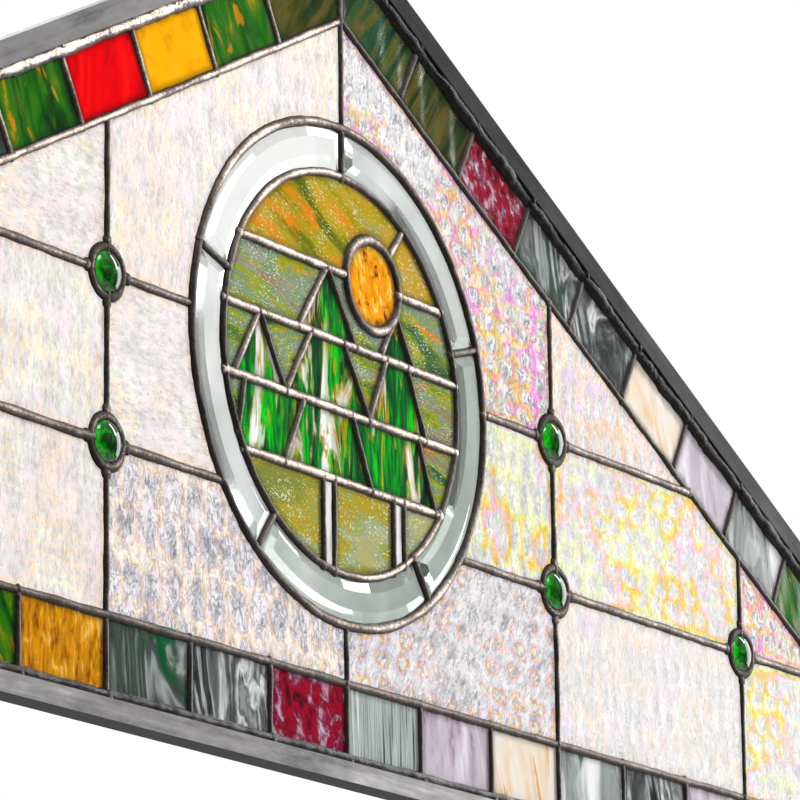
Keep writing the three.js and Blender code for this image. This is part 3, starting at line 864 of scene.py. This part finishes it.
def field_solder():
    heap = Heap()
    seam(heap, corner(-1, 0, 0), corner(1, 0, 0), painted_light=0.5)
    seam(heap, PEAK, on_ring(0, RING_OUTER))
    seam(heap, on_ring(0, -RING_OUTER), spot(0, FIELD_BASE))
    for _, side in SIDES:
        seam(heap, PEAK, corner(side, 0, 0), depth=DEPTH["roof"])
        column = 1
        while column * COLUMN_PITCH < FIELD_CORNER:
            across = side * column * COLUMN_PITCH
            seam(heap, spot(across, FIELD_BASE), spot(across, roof_height(across)))
            column += 1
        for row in (1, 2):
            up = FIELD_BASE + row * ROW_PITCH
            inner = spot(side * chord(up - CENTRE[1], RING_OUTER), up)
            # Level runs get a set amount of painted highlight.
            seam(heap, inner, spot(side * (FIELD_PEAK - up) / ROOF_SLOPE, up), LEVEL_SEAM_WIDTH, painted_light=0.64)
    heap.piece("field_solder", PATINA)


def joint_angle(index):
    return math.pi / 2 + 2 * math.pi * index / RING_PIECES


def ring_solder():
    heap = Heap()
    bead(heap, circle(CENTRE, RING_OUTER), RING_SEAM_WIDTH, DEPTH["ring_outer"], closed=True)
    bead(heap, circle(CENTRE, RING_INNER), SEAM_WIDTH, DEPTH["ring_inner"], closed=True)
    for i in range(RING_PIECES):
        inner, outer = (CENTRE + polar(radius, joint_angle(i)) for radius in (RING_INNER, RING_OUTER))
        seam(heap, inner, outer, depth=DEPTH["ring_joint"], painted_light=0.5)
    heap.piece("ring_solder", PATINA)


# ---- The medallion's picture ----
SUN_CENTRE = on_ring(*SUN_PLACE)
SMALL_TIP = SUN_CENTRE + polar(SUN_RADIUS, SMALL_PINE_TOUCH)
TIERS = ((SKY_LINE, UPPER_TIER), (UPPER_TIER, LOWER_TIER), (LOWER_TIER, GROUND_LINE))
# Each pine: its middle, its tip, and each tier's half-widths, in millimetres, at the top and the bottom.
TALL_PINE = (-18 * MM, SKY_LINE, ((0, 32), (18, 46), (26, 48)))
SMALL_PINE = (SMALL_TIP[0], SMALL_TIP[1] - CENTRE[1], ((0, 19), (12, 32.5), (23, 42)))
LEFT_PINE = (-92 * MM, UPPER_TIER, (None, (0, 28), (16, 25)))


def pine_edge(pine, tier, side):
    middle, tip, tiers = pine
    top, bottom = tiers[tier]
    upper, lower = TIERS[tier]
    start = tip if top == 0 else upper
    return on_ring(middle + side * top * MM, start), on_ring(middle + side * bottom * MM, lower)


def to_rim(start, through):
    """Where a straight line leaves the medallion."""
    along = (through - start) / np.linalg.norm(through - start)
    offset = start - CENTRE
    half = float(offset @ along)
    return start + along * (-half + math.sqrt(half ** 2 - float(offset @ offset) + RING_INNER ** 2))


def picture_solder():
    heap = Heap()
    runs = [
        (on_ring(-chord(SKY_LINE, RING_INNER), SKY_LINE), on_ring(SUN_PLACE[0] - SUN_RADIUS, SKY_LINE)),
        (on_ring(SUN_PLACE[0] + SUN_RADIUS, SKY_LINE), on_ring(chord(SKY_LINE, RING_INNER), SKY_LINE)),
    ]
    for up in (UPPER_TIER, LOWER_TIER, GROUND_LINE):
        reach = chord(up, RING_INNER)
        runs.append((on_ring(-reach, up), on_ring(reach, up)))
    ray = SUN_CENTRE + polar(SUN_RADIUS, SUN_RAY)
    runs.append((ray, to_rim(SUN_CENTRE, ray)))
    skirt = pine_edge(LEFT_PINE, 2, -1)
    runs.append((skirt[0], to_rim(*skirt)))
    runs += [pine_edge(LEFT_PINE, 1, side) for side in (-1, 1)]
    runs += [pine_edge(TALL_PINE, tier, side) for tier in (0, 1, 2) for side in (-1, 1)]
    runs += [pine_edge(SMALL_PINE, tier, side) for tier in (0, 1) for side in (-1, 1)]
    runs.append(pine_edge(SMALL_PINE, 2, 1))
    for pine in (TALL_PINE, SMALL_PINE):
        for side in (-1, 1):
            across = pine[0] + side * TRUNK_WIDTH / 2
            runs.append((on_ring(across, GROUND_LINE), on_ring(across, -chord(across, RING_INNER))))
    for start, end in runs:
        # Level runs are wider and get the most painted highlight.
        level = abs(end[1] - start[1]) < MM
        width, painted_light = (PICTURE_LEVEL_WIDTH, 1.1) if level else (SEAM_WIDTH, None)
        seam(heap, start, end, width, DEPTH["picture"], painted_light)
    bead(heap, circle(SUN_CENTRE, SUN_RADIUS, 60), SUN_SEAM, DEPTH["sun"], closed=True)
    heap.piece("picture_solder", PATINA)


def jewel_places():
    for name, side in SIDES:
        yield f"{name}_upper", spot(side * COLUMN_PITCH, FIELD_BASE + 2 * ROW_PITCH)
        yield f"{name}_lower", spot(side * COLUMN_PITCH, FIELD_BASE + ROW_PITCH)
        yield f"{name}_outer", spot(side * 2 * COLUMN_PITCH, FIELD_BASE + ROW_PITCH)


def dome(name, centre, material):
    """A glass jewel: a dome over a flat foot."""
    radius = JEWEL_RADIUS + JEWEL_LAP
    profile = [(radius * 0.8, -JEWEL_FOOT), (radius, -GLASS_HALF)]
    for i in range(DOME_LEVELS):
        tilt = math.pi / 2 * i / DOME_LEVELS
        profile.append((radius * math.cos(tilt), GLASS_HALF + (JEWEL_RISE - GLASS_HALF) * math.sin(tilt)))
    points = [stand_up([centre], -JEWEL_FOOT)[0]]
    for reach, out in profile:
        points.extend(stand_up(circle(centre, reach, DOME_AROUND), out))
    points.append(stand_up([centre], JEWEL_RISE)[0])
    faces = ball_faces(len(profile), DOME_AROUND)
    piece(f"jewel_dome_{name}", points, faces, material, [f"jewel_{name}"], sharp=40)


def jewels():
    heap = Heap()
    green = jewel_green()
    middle = (JEWEL_RADIUS + COLLAR_RADIUS) / 2
    width = COLLAR_RADIUS - JEWEL_RADIUS + COLLAR_LAP
    for name, centre in jewel_places():
        dome(name, centre, green)
        # Collars and their puddles get a set amount of painted highlight.
        bead(heap, circle(centre, middle, 48), width, DEPTH["collar"], closed=True, painted_light=0.75)
        for quarter in range(4):
            at = centre + polar(COLLAR_RADIUS + COLLAR_JOINT_OUT, quarter * math.pi / 2)
            joint(heap, at, COLLAR_JOINT, DEPTH["collar_joint"], 0.8)
    heap.piece("collar_solder", COLLAR_SOLDER)


# ---- Border: the dividers between its tiles and the solder along the frame ----
def mitre(side, outward):
    """Where rail and rafter lines that are equally far outside the field meet."""
    return corner(side, outward, outward)


def down_rafter(side):
    """The direction down a rafter from the peak."""
    return spot(side, -ROOF_SLOPE) / SLOPED


def off_rafter(side):
    """The direction square to a rafter, away from the field."""
    return spot(side * ROOF_SLOPE, 1) / SLOPED


def along_rafter(side, distance, outward):
    """A point that far down a rafter from the peak, and that far outside the field."""
    return PEAK + distance * down_rafter(side) + outward * off_rafter(side)


def divider_start(side, direction, reach, inner):
    """Where a divider starts: at the field or, beyond the field's corner, on the mitre."""
    near, far = mitre(side, 0), mitre(side, BORDER_DEPTH)
    begin, end = ((point - PEAK) @ direction for point in (near, far))
    return near + (reach - begin) / (end - begin) * (far - near) if reach > begin else inner


def bottom_divider(index):
    """The seam between two bottom tiles, from the field out to the frame."""
    across = index * BOTTOM_TILE
    side = math.copysign(1, across)
    start = divider_start(side, spot(side, 0), abs(across), spot(across, FIELD_BASE))
    return start, spot(across, RAIL_FACE)


def rafter_divider(side, index):
    """The seam between two rafter tiles. Number 0 is upright, at the peak."""
    if index == 0:
        return PEAK, spot(0, roof_line(BORDER_DEPTH))
    reach = index * RAFTER_TILE
    start = divider_start(side, down_rafter(side), reach, along_rafter(side, reach, 0))
    return start, along_rafter(side, reach, BORDER_DEPTH)


BOTTOM_COUNT = int(mitre(1, BORDER_DEPTH)[0] / BOTTOM_TILE)
RAFTER_COUNT = int((mitre(1, BORDER_DEPTH) - PEAK) @ down_rafter(1) / RAFTER_TILE)


def border_solder():
    heap, edge = Heap(), Heap()
    # Painted light and shade on the dividers: the bottom ones darker, the left rafter's lighter, the right
    # rafter's darker.
    runs = [(bottom_divider(i), 0.35) for i in range(-BOTTOM_COUNT, BOTTOM_COUNT + 1)]
    for _, side in SIDES:
        painted_light = 0.3 if side > 0 else 0.7
        runs.append(((mitre(side, 0), mitre(side, BORDER_DEPTH)), painted_light))
        runs += [(rafter_divider(side, i), painted_light) for i in range(1, RAFTER_COUNT + 1)]
    runs.append((rafter_divider(1, 0), 0.6))
    for (start, end), painted_light in runs:
        seam(heap, start, end, depth=DEPTH["border"], painted_light=painted_light)
    heap.piece("border_solder", PATINA)
    outward = BORDER_DEPTH - EDGE_INSET
    peak = spot(0, roof_line(outward))
    low_left, low_right = [corner(side, outward, outward) for side in (-1, 1)]
    # Painted light and shade: the run along the left rafter is lit bright, the bottom one dark and the right
    # one darkest; the right one is also widest, partly standing in for the shade along the frame's inner
    # side.
    for start, end, width, painted_light in (
        (low_left, low_right, 8.2, 0.4), (low_left, peak, 11, 1.15), (peak, low_right, 13, 0.12),
    ):
        bead(edge, [start, end], width * MM, DEPTH["edge"], uneven=0.24, painted_light=painted_light)
    for (_, end), painted_light in runs:
        joint(edge, end, EDGE_JOINT * rng.uniform(0.9, 1.25), DEPTH["edge_joint"], painted_light)
    edge.piece("frame_edge_solder", BLACK_SOLDER)


# ---- Frame ----
def frame_bar(name, inner_ends, outer_ends, material):
    """A bar of grooved channel with eased edges, cut to the mitres at both ends."""
    low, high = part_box(name)
    front, back = GLASS_PLANE - low.y, GLASS_PLANE - high.y
    ease = EASED_EDGE / np.linalg.norm(outer_ends[0] - inner_ends[0])
    # Each point of the section: its share of the way across the face, and how far out it stands.
    section = [
        (0, GROOVE_HALF), (0, front - EASED_EDGE), (ease, front), (1 - ease, front),
        (1, front - EASED_EDGE), (1, back + EASED_EDGE), (1 - ease, back), (ease, back),
        (0, back + EASED_EDGE), (0, -GROOVE_HALF), (GROOVE_SHARE, -GROOVE_HALF), (GROOVE_SHARE, GROOVE_HALF),
    ]
    seed = rng.uniform(0, 900)
    points = []
    for i in range(BAR_STATIONS + 1):
        share = i / BAR_STATIONS
        inner = inner_ends[0] + share * (inner_ends[1] - inner_ends[0])
        outer = outer_ends[0] + share * (outer_ends[1] - outer_ends[0])
        dent = noise.noise((share * 14, seed, 0)) * DENT
        plan = [inner + across * (outer - inner) for across, _ in section]
        points.extend(stand_up(plan, [out + (dent if out > GROOVE_HALF else 0) for _, out in section]))
    faces = tube_faces(BAR_STATIONS + 1, len(section))
    piece(f"{name}_channel", points, faces, material, [name], sharp=10)


def frame_bars():
    inner = [corner(side, BORDER_DEPTH, BORDER_DEPTH) for side in (-1, 1)]
    outer = [corner(side, BORDER_DEPTH + RAFTER_FACE, BORDER_DEPTH + RAIL_FACE) for side in (-1, 1)]
    peak_in, peak_out = spot(0, roof_line(BORDER_DEPTH)), spot(0, roof_line(BORDER_DEPTH + RAFTER_FACE))
    inset = spot(RAIL_INSET, 0)
    ends = [inner[0] + inset, inner[1] - inset], [outer[0] + inset, outer[1] - inset]
    frame_bar("bottom_rail", *ends, RAIL_ZINC)
    for name, side in SIDES:
        shift = spot(side * MITRE_GAP, 0)
        end = 1 if side > 0 else 0
        lift = spot(side * -2 * MITRE_GAP, 2 * MITRE_GAP)
        ends = [peak_in + shift, inner[end] + lift], [peak_out + shift, outer[end] + lift]
        frame_bar(f"{name}_rafter_bar", *ends, RIGHT_ZINC if side > 0 else LEFT_ZINC)


# ---- Bevelled ring ----
def bevel_ring(material):
    steps = 26
    inner = RING_INNER + 0.8 * MM
    outer = RING_OUTER - 1.2 * MM
    half_joint = 0.8 * MM
    front = -GLASS_HALF + BEVEL_THICK
    edge = -GLASS_HALF + BEVEL_EDGE

    def arc(index, radius, inset):
        turn = math.asin((half_joint + inset) / radius)
        angles = np.linspace(joint_angle(index) + turn, joint_angle(index + 1) - turn, steps + 1)
        return np.array([CENTRE + polar(radius, angle) for angle in angles])

    for index in range(RING_PIECES):
        rims = [arc(index, inner, 0), arc(index, outer, 0)]
        tops = [arc(index, radius, BEVEL_WIDTH) for radius in (inner + BEVEL_WIDTH, outer - BEVEL_WIDTH)]
        layers = [
            stand_up(rims[0], -GLASS_HALF), stand_up(rims[1], -GLASS_HALF),
            stand_up(rims[0], edge), stand_up(rims[1], edge),
            stand_up(tops[0], front), stand_up(tops[1], front),
        ]
        size = steps + 1
        faces = []
        for i in range(steps):
            for a, b in ((1, 0), (0, 2), (2, 4), (4, 5), (5, 3), (3, 1)):
                faces.append((a * size + i, b * size + i, b * size + i + 1, a * size + i + 1))
        for i in (0, steps):
            for ring in ((0, 1, 3, 2), (2, 3, 5, 4)):
                faces.append(tuple(layer * size + i for layer in ring))
        name = f"bevel_piece_{index + 1}"
        piece(f"{name}_glass", np.vstack(layers), faces, material, [name], sharp=6)


# ---- Glass for the field ----
def field_glass():
    warm, cool, steel = (0.60, 0.56, 0.54), (0.76, 0.78, 0.80), (0.32, 0.32, 0.35)
    looks = {
        "silver": iridescent("silver_pearl", PEARL, 1.1, 0.1, warm, (11, 22), 0.6),
        "rippled": iridescent("rippled_pearl", PEARL, 1.1, 0.1, warm, (14, 7), 0.6, slant=1.5),
        "warm": iridescent("warm_pearl", PEARL, 1.6, 0.1, warm, (9, 7), 0.5),
        "marbled": iridescent("marbled_peach", BANDED, 1.2, 1.0, steel, (21, 30), bands=True),
        "rings": iridescent("ringed_lilac", RINGED, 1.4, 0.8, (0.28, 0.30, 0.34), (24, 17), 0.6,
                            rings=True, slant=-0.6),
        "gold": iridescent("gold_leaf_sheen", GOLD_LEAF, 1.0, 0.6, cool, (21, 15)),
        "gold_rows": iridescent("gold_rows_sheen", GOLD_LEAF, 1.1, 0.6, (0.52, 0.55, 0.56), (15, 28), 0.6),
        "rose": iridescent("gold_rose_sheen", GOLD_ROSE, 1.8, 1.25, cool, (21, 14), 0.9, 0.1, fade=0.44),
        "rose_rows": iridescent("rose_rows_sheen", PEACH, 1.3, 0.6, (0.68, 0.68, 0.72), (16, 28), 0.6),
        "streak": iridescent("streaked_white", PEACH, 0.8, 0.5, cool, (15, 34), 0.5, 0.3),
    }
    thumbs, rows = hammered(21 * MM, 15 * MM, 0.5 * MM), hammered(17 * MM, 28 * MM, 0.4 * MM)
    ripples = waved(7 * MM, 24 * MM, 0.3 * MM)
    plan = {
        "left_1_1": ("marbled", rows), "left_1_2": ("rippled", ripples), "left_1_3": ("silver", ripples),
        "left_2_1": ("warm", thumbs), "left_2_2": ("silver", ripples), "left_2_3": ("rippled", ripples),
        "left_3_1": ("streak", rows), "left_3_2": ("warm", ripples), "left_4_1": ("silver", ripples),
        "right_1_1": ("rings", thumbs), "right_1_2": ("gold_rows", rows), "right_1_3": ("rose", thumbs),
        "right_2_1": ("streak", rows), "right_2_2": ("gold", thumbs), "right_2_3": ("rose_rows", rows),
        "right_3_1": ("gold", thumbs), "right_3_2": ("rose", thumbs), "right_4_1": ("rings", thumbs),
    }
    for key, (look, relief) in plan.items():
        node = f"field_pane_{key}"
        pane(f"{node}_glass", cad_outline(node), looks[look], [node], relief)


OLIVE = [(0.12, 0.15, 0.0), (0.28, 0.29, 0.0), (0.50, 0.38, 0.0), (0.66, 0.38, 0.01), (0.38, 0.40, 0.10)]
HAZE = [
    (0.04, 0.12, 0.06), (0.16, 0.30, 0.02), (0.44, 0.42, 0.0),
    (0.20, 0.34, 0.20), (0.34, 0.39, 0.28), (0.34, 0.24, 0.10),
]
GROUND = [
    (0.26, 0.30, 0.05), (0.42, 0.38, 0.03), (0.54, 0.38, 0.01),
    (0.34, 0.42, 0.10), (0.40, 0.46, 0.32), (0.50, 0.48, 0.20),
]
PINE = [(0.0, 0.012, 0.006), (0.0, 0.05, 0.02), (0.0, 0.16, 0.02), (0.0, 0.46, 0.01), (0.0, 0.92, 0.01)]
# The palest gold and white are painted glints.
SUN_AND_GLINTS = [
    (0.02, 0.005, 0.0), (0.70, 0.22, 0.0), (0.95, 0.34, 0.0),
    (1.0, 0.44, 0.0), (1.0, 0.62, 0.0), (1.0, 0.95, 0.6),
]
TRUNK = [(0.20, 0.19, 0.18), (0.85, 0.84, 0.82), (0.97, 0.96, 0.95)]
# White for painted reflections.
REFLECTION_WHITE = (1.0, 1.0, 1.0)


def picture_glass():
    level = math.radians(84)
    drifting = math.radians(66)
    sky = streaky("dome_olive", OLIVE, drifting, (34, 34, 9), spread=0.15, seed_glints=850,
                  wisps=[(ORANGE, (70, 70, 14), 0.55)])
    haze = streaky("haze_olive", HAZE, level, (40, 40, 10), spread=0.15, seed_glints=900,
                   wisps=[(ORANGE, (60, 60, 12), 0.60)])
    # Painted reflections: the white wisps in the pines stand for light reflected off their wavy glass.
    pine = streaky("pine_green", PINE, 0.0, (110, 110, 16), wisps=[
        ((0.75, 0.40, 0.0), (120, 120, 22), 0.61), ((0.50, 0.30, 0.0), (42, 42, 9), 0.52),
        (REFLECTION_WHITE, (42, 42, 9), 0.55)])
    ground = streaky("ground_olive", GROUND, level, (34, 34, 12), spread=0.14, seed_glints=950)
    trunk = streaky("trunk_clear", TRUNK, 0.0, (60, 60, 10), edge=0.2, clear=0.1)
    sun = streaky("sun_gold", SUN_AND_GLINTS, 0.2, (190, 190, 95), warp=0.9, spread=0.17, gloss=0.2)
    flat = waved(30 * MM, 40 * MM, 0.3 * MM)
    wavy = waved(14 * MM, 40 * MM, 0.4 * MM)
    groups = [
        (sky, flat, "sky_glass", ["sky_dome", "sky_dome_right"]),
        (haze, flat, "sky_glass", [
            "sky_upper_left", "sky_upper_middle", "sky_upper_right", "sky_middle_left",
            "sky_middle_left_notch", "sky_middle_right_notch", "sky_middle_right",
            "sky_lower_left", "sky_lower_right"]),
        (pine, wavy, "pine_glass", [
            "tall_pine_top", "tall_pine_middle", "tall_pine_skirt", "small_pine_top",
            "small_pine_middle", "small_pine_skirt", "left_pine_top", "left_pine_skirt"]),
        (ground, flat, "ground_glass", ["ground_left", "ground_middle", "ground_right"]),
        (trunk, wavy, "trunk_glass", ["tall_pine_trunk", "small_pine_trunk"]),
        (sun, waved(5 * MM, 14 * MM, 0.35 * MM), "sun_glass", ["sun_disc"]),
    ]
    for look, relief, slot, nodes in groups:
        step = FINE_FACET if slot in ("pine_glass", "sun_glass") else FACET
        for node in nodes:
            pane(f"{node}_glass", cad_outline(node), look, [node], relief, step)


# ---- Glass for the border ----
MOSS = [(0.0, 0.03, 0.0), (0.005, 0.09, 0.0), (0.01, 0.18, 0.0), (0.08, 0.18, 0.0), (0.40, 0.34, 0.0)]
BRONZE = [(0.0, 0.012, 0.0), (0.01, 0.04, 0.0), (0.05, 0.06, 0.0), (0.13, 0.09, 0.0), (0.02, 0.10, 0.02)]
# Its white and pale grey bands are painted reflections of the room in the wavy glass.
TEAL_AND_REFLECTIONS = [
    (0.01, 0.03, 0.015), (0.07, 0.09, 0.08), (0.55, 0.57, 0.56), (0.08, 0.10, 0.09),
    (0.03, 0.06, 0.04), (0.20, 0.22, 0.21), (0.85, 0.87, 0.86), (0.06, 0.09, 0.07),
]
RED = [(0.45, 0.0, 0.0), (0.78, 0.0, 0.003), (0.82, 0.0, 0.003), (0.88, 0.005, 0.003)]
# Its pale lilac stops are painted highlights.
CRANBERRY_AND_HIGHLIGHTS = [
    (0.05, 0.0, 0.01), (0.20, 0.0, 0.015), (0.46, 0.0, 0.015), (0.18, 0.0, 0.03),
    (0.40, 0.20, 0.28), (0.74, 0.62, 0.70),
]
AMBER = [(0.24, 0.07, 0.0), (0.48, 0.18, 0.0), (0.66, 0.27, 0.0), (0.80, 0.36, 0.0), (1.0, 0.72, 0.25)]
BRIGHT_AMBER = [(0.72, 0.30, 0.0), (0.94, 0.44, 0.0), (0.96, 0.48, 0.0)]
# Its white and pale grey bands are painted reflections of the room in the wavy glass.
SMOKE_AND_REFLECTIONS = [
    (0.02, 0.025, 0.025), (0.58, 0.60, 0.60), (0.11, 0.12, 0.12), (0.035, 0.04, 0.04),
    (0.16, 0.18, 0.18), (0.90, 0.91, 0.91), (0.06, 0.07, 0.07), (0.34, 0.35, 0.35),
]
FROST = [(0.14, 0.16, 0.15), (0.42, 0.45, 0.44), (0.30, 0.33, 0.32), (0.80, 0.82, 0.81), (0.97, 0.97, 0.97)]
LILAC = [(0.28, 0.20, 0.28), (0.56, 0.48, 0.56), (0.66, 0.60, 0.66), (0.72, 0.67, 0.73), (0.92, 0.90, 0.93)]
CREAM = [(0.88, 0.64, 0.38), (0.92, 0.78, 0.62), (0.94, 0.86, 0.78), (0.96, 0.92, 0.88)]
RIDGED = [(0.01, 0.02, 0.015), (0.42, 0.46, 0.44), (0.60, 0.64, 0.62), (0.26, 0.32, 0.29), (0.80, 0.83, 0.82)]
FOREST = [(0.0, 0.012, 0.003), (0.005, 0.05, 0.015), (0.03, 0.10, 0.02), (0.14, 0.11, 0.0), (0.0, 0.06, 0.02)]
# Textured sheets. The others have broad waves.
RELIEFS = {
    "cranberry": hammered(10 * MM, 9 * MM, 0.25 * MM),
    "amber": hammered(8 * MM, 16 * MM, 0.3 * MM),
}
BROAD_WAVES = waved(16 * MM, 45 * MM, 0.4 * MM)


def border_looks():
    broad = (28, 28, 9)
    return {
        "moss": streaky("moss_green", MOSS, 0.5, (50, 50, 14), wisps=[(ORANGE, (70, 70, 18), 0.62)]),
        "forest": streaky("forest_green", FOREST, -0.6, (70, 70, 10), 0.6, 0.15),
        "bronze": streaky("bronze_green", BRONZE, -0.6, (80, 80, 10), 0.6, 0.15),
        "teal": streaky("teal_green", TEAL_AND_REFLECTIONS, 0.1, broad, 0.8, 0.16,
                        wisps=[((0.0, 0.10, 0.02), (30, 30, 20), 0.6)]),
        "red": streaky("bright_red", RED, 0.0, (30, 30, 14), spread=0.12, clear=0.2, gloss=0.05),
        "cranberry": streaky("cranberry", CRANBERRY_AND_HIGHLIGHTS, 0.4, (120, 120, 85), 0.4, 0.17, gloss=0.25),
        "amber": streaky("golden_amber", AMBER, 0.0, (210, 210, 70), 0.6, 0.15),
        "bright_amber": streaky("bright_amber", BRIGHT_AMBER, 0.0, (50, 50, 50), 0.6, clear=0.2, gloss=0.05),
        "smoke": streaky("smoke_grey", SMOKE_AND_REFLECTIONS, 0.15, broad, 1.0, 0.15),
        "ridged": streaky("ridged_grey", RIDGED, 0.03, (190, 190, 6), 0.3, 0.14),
        "frost": streaky("frost_grey", FROST, 0.15, broad, 0.8, 0.14,
                         wisps=[((0.0, 0.10, 0.03), (30, 30, 12), 0.62)]),
        "lilac": streaky("lilac", LILAC, 0.15, (60, 60, 16), 1.2, 0.16),
        "cream": streaky("peach_cream", CREAM, 0.2, (60, 60, 14),
                         wisps=[((0.80, 0.38, 0.08), (90, 90, 14), 0.62)]),
    }


# From the middle outward. The left and right runs differ.
TILE_ORDER = {
    "bottom_left": ["cranberry", "smoke", "teal", "amber", "moss", "lilac", "frost", "red", "bronze",
                    "cream", "teal"],
    "bottom_right": ["ridged", "lilac", "cream", "frost", "smoke", "lilac", "cranberry", "moss",
                     "amber", "frost", "teal"],
    "rafter_left": ["bronze", "moss", "bright_amber", "red", "moss", "teal", "lilac", "cream",
                    "smoke", "cranberry", "frost", "amber", "bronze"],
    "rafter_right": ["forest", "bronze", "cranberry", "teal", "smoke", "cream", "lilac", "frost",
                     "moss", "amber", "teal", "red", "smoke"],
}


def tile(name, first, last, outward, look, looks, node):
    """One border tile between two dividers, going on into the frame's groove."""
    outline = [first[0], first[1] + outward, last[1] + outward, last[0]]
    outline = [point for i, point in enumerate(outline) if np.linalg.norm(point - outline[i - 1]) > MM]
    outline = np.array(outline if area(np.array(outline)) > 0 else outline[::-1])
    relief = RELIEFS.get(look, BROAD_WAVES)
    pane(name, outline, looks[look], [node], relief, lap=-TILE_GAP / 2)


def tile_run(place, side_name, lines, outward, looks, node):
    """The tiles between dividers that are listed from the middle outward."""
    order = TILE_ORDER[f"{place}_{side_name}"]
    for i in range(len(lines) - 1):
        name = f"{place}_tile_{side_name}_{i + 1}"
        tile(name, lines[i], lines[i + 1], outward, order[i % len(order)], looks, node)


def border_glass():
    looks = border_looks()
    for name, side in SIDES:
        end = [(mitre(side, BORDER_DEPTH), mitre(side, BORDER_DEPTH))]
        lines = [bottom_divider(side * i) for i in range(BOTTOM_COUNT + 1)] + end
        tile_run("bottom", name, lines, spot(0, -GROOVE_REACH), looks, "border_glass_bottom")
        lines = [rafter_divider(side, i) for i in range(RAFTER_COUNT + 1)] + end
        tile_run("rafter", name, lines, GROOVE_REACH * off_rafter(side), looks, "border_glass_rafters")


# ---- Floor ----
def floor():
    half, down = FLOOR_HALF, -FLOOR_DROP
    corners = [(-half, -half, down), (half, -half, down), (half, half, down), (-half, half, down)]
    mesh = bpy.data.meshes.new("floor")
    mesh.from_pydata(corners, [], [(0, 1, 2, 3)])
    mesh.materials.append(Shade("pale_floor", Roughness=0.8).finish(Base_Color=(0.85, 0.85, 0.85, 1)))
    ground = placed("floor", mesh)


set_camera()
set_light()
floor()
frame_bars()
field_solder()
ring_solder()
picture_solder()
border_solder()
jewels()
bevel_ring(clear_bevel())
field_glass()
picture_glass()
border_glass()
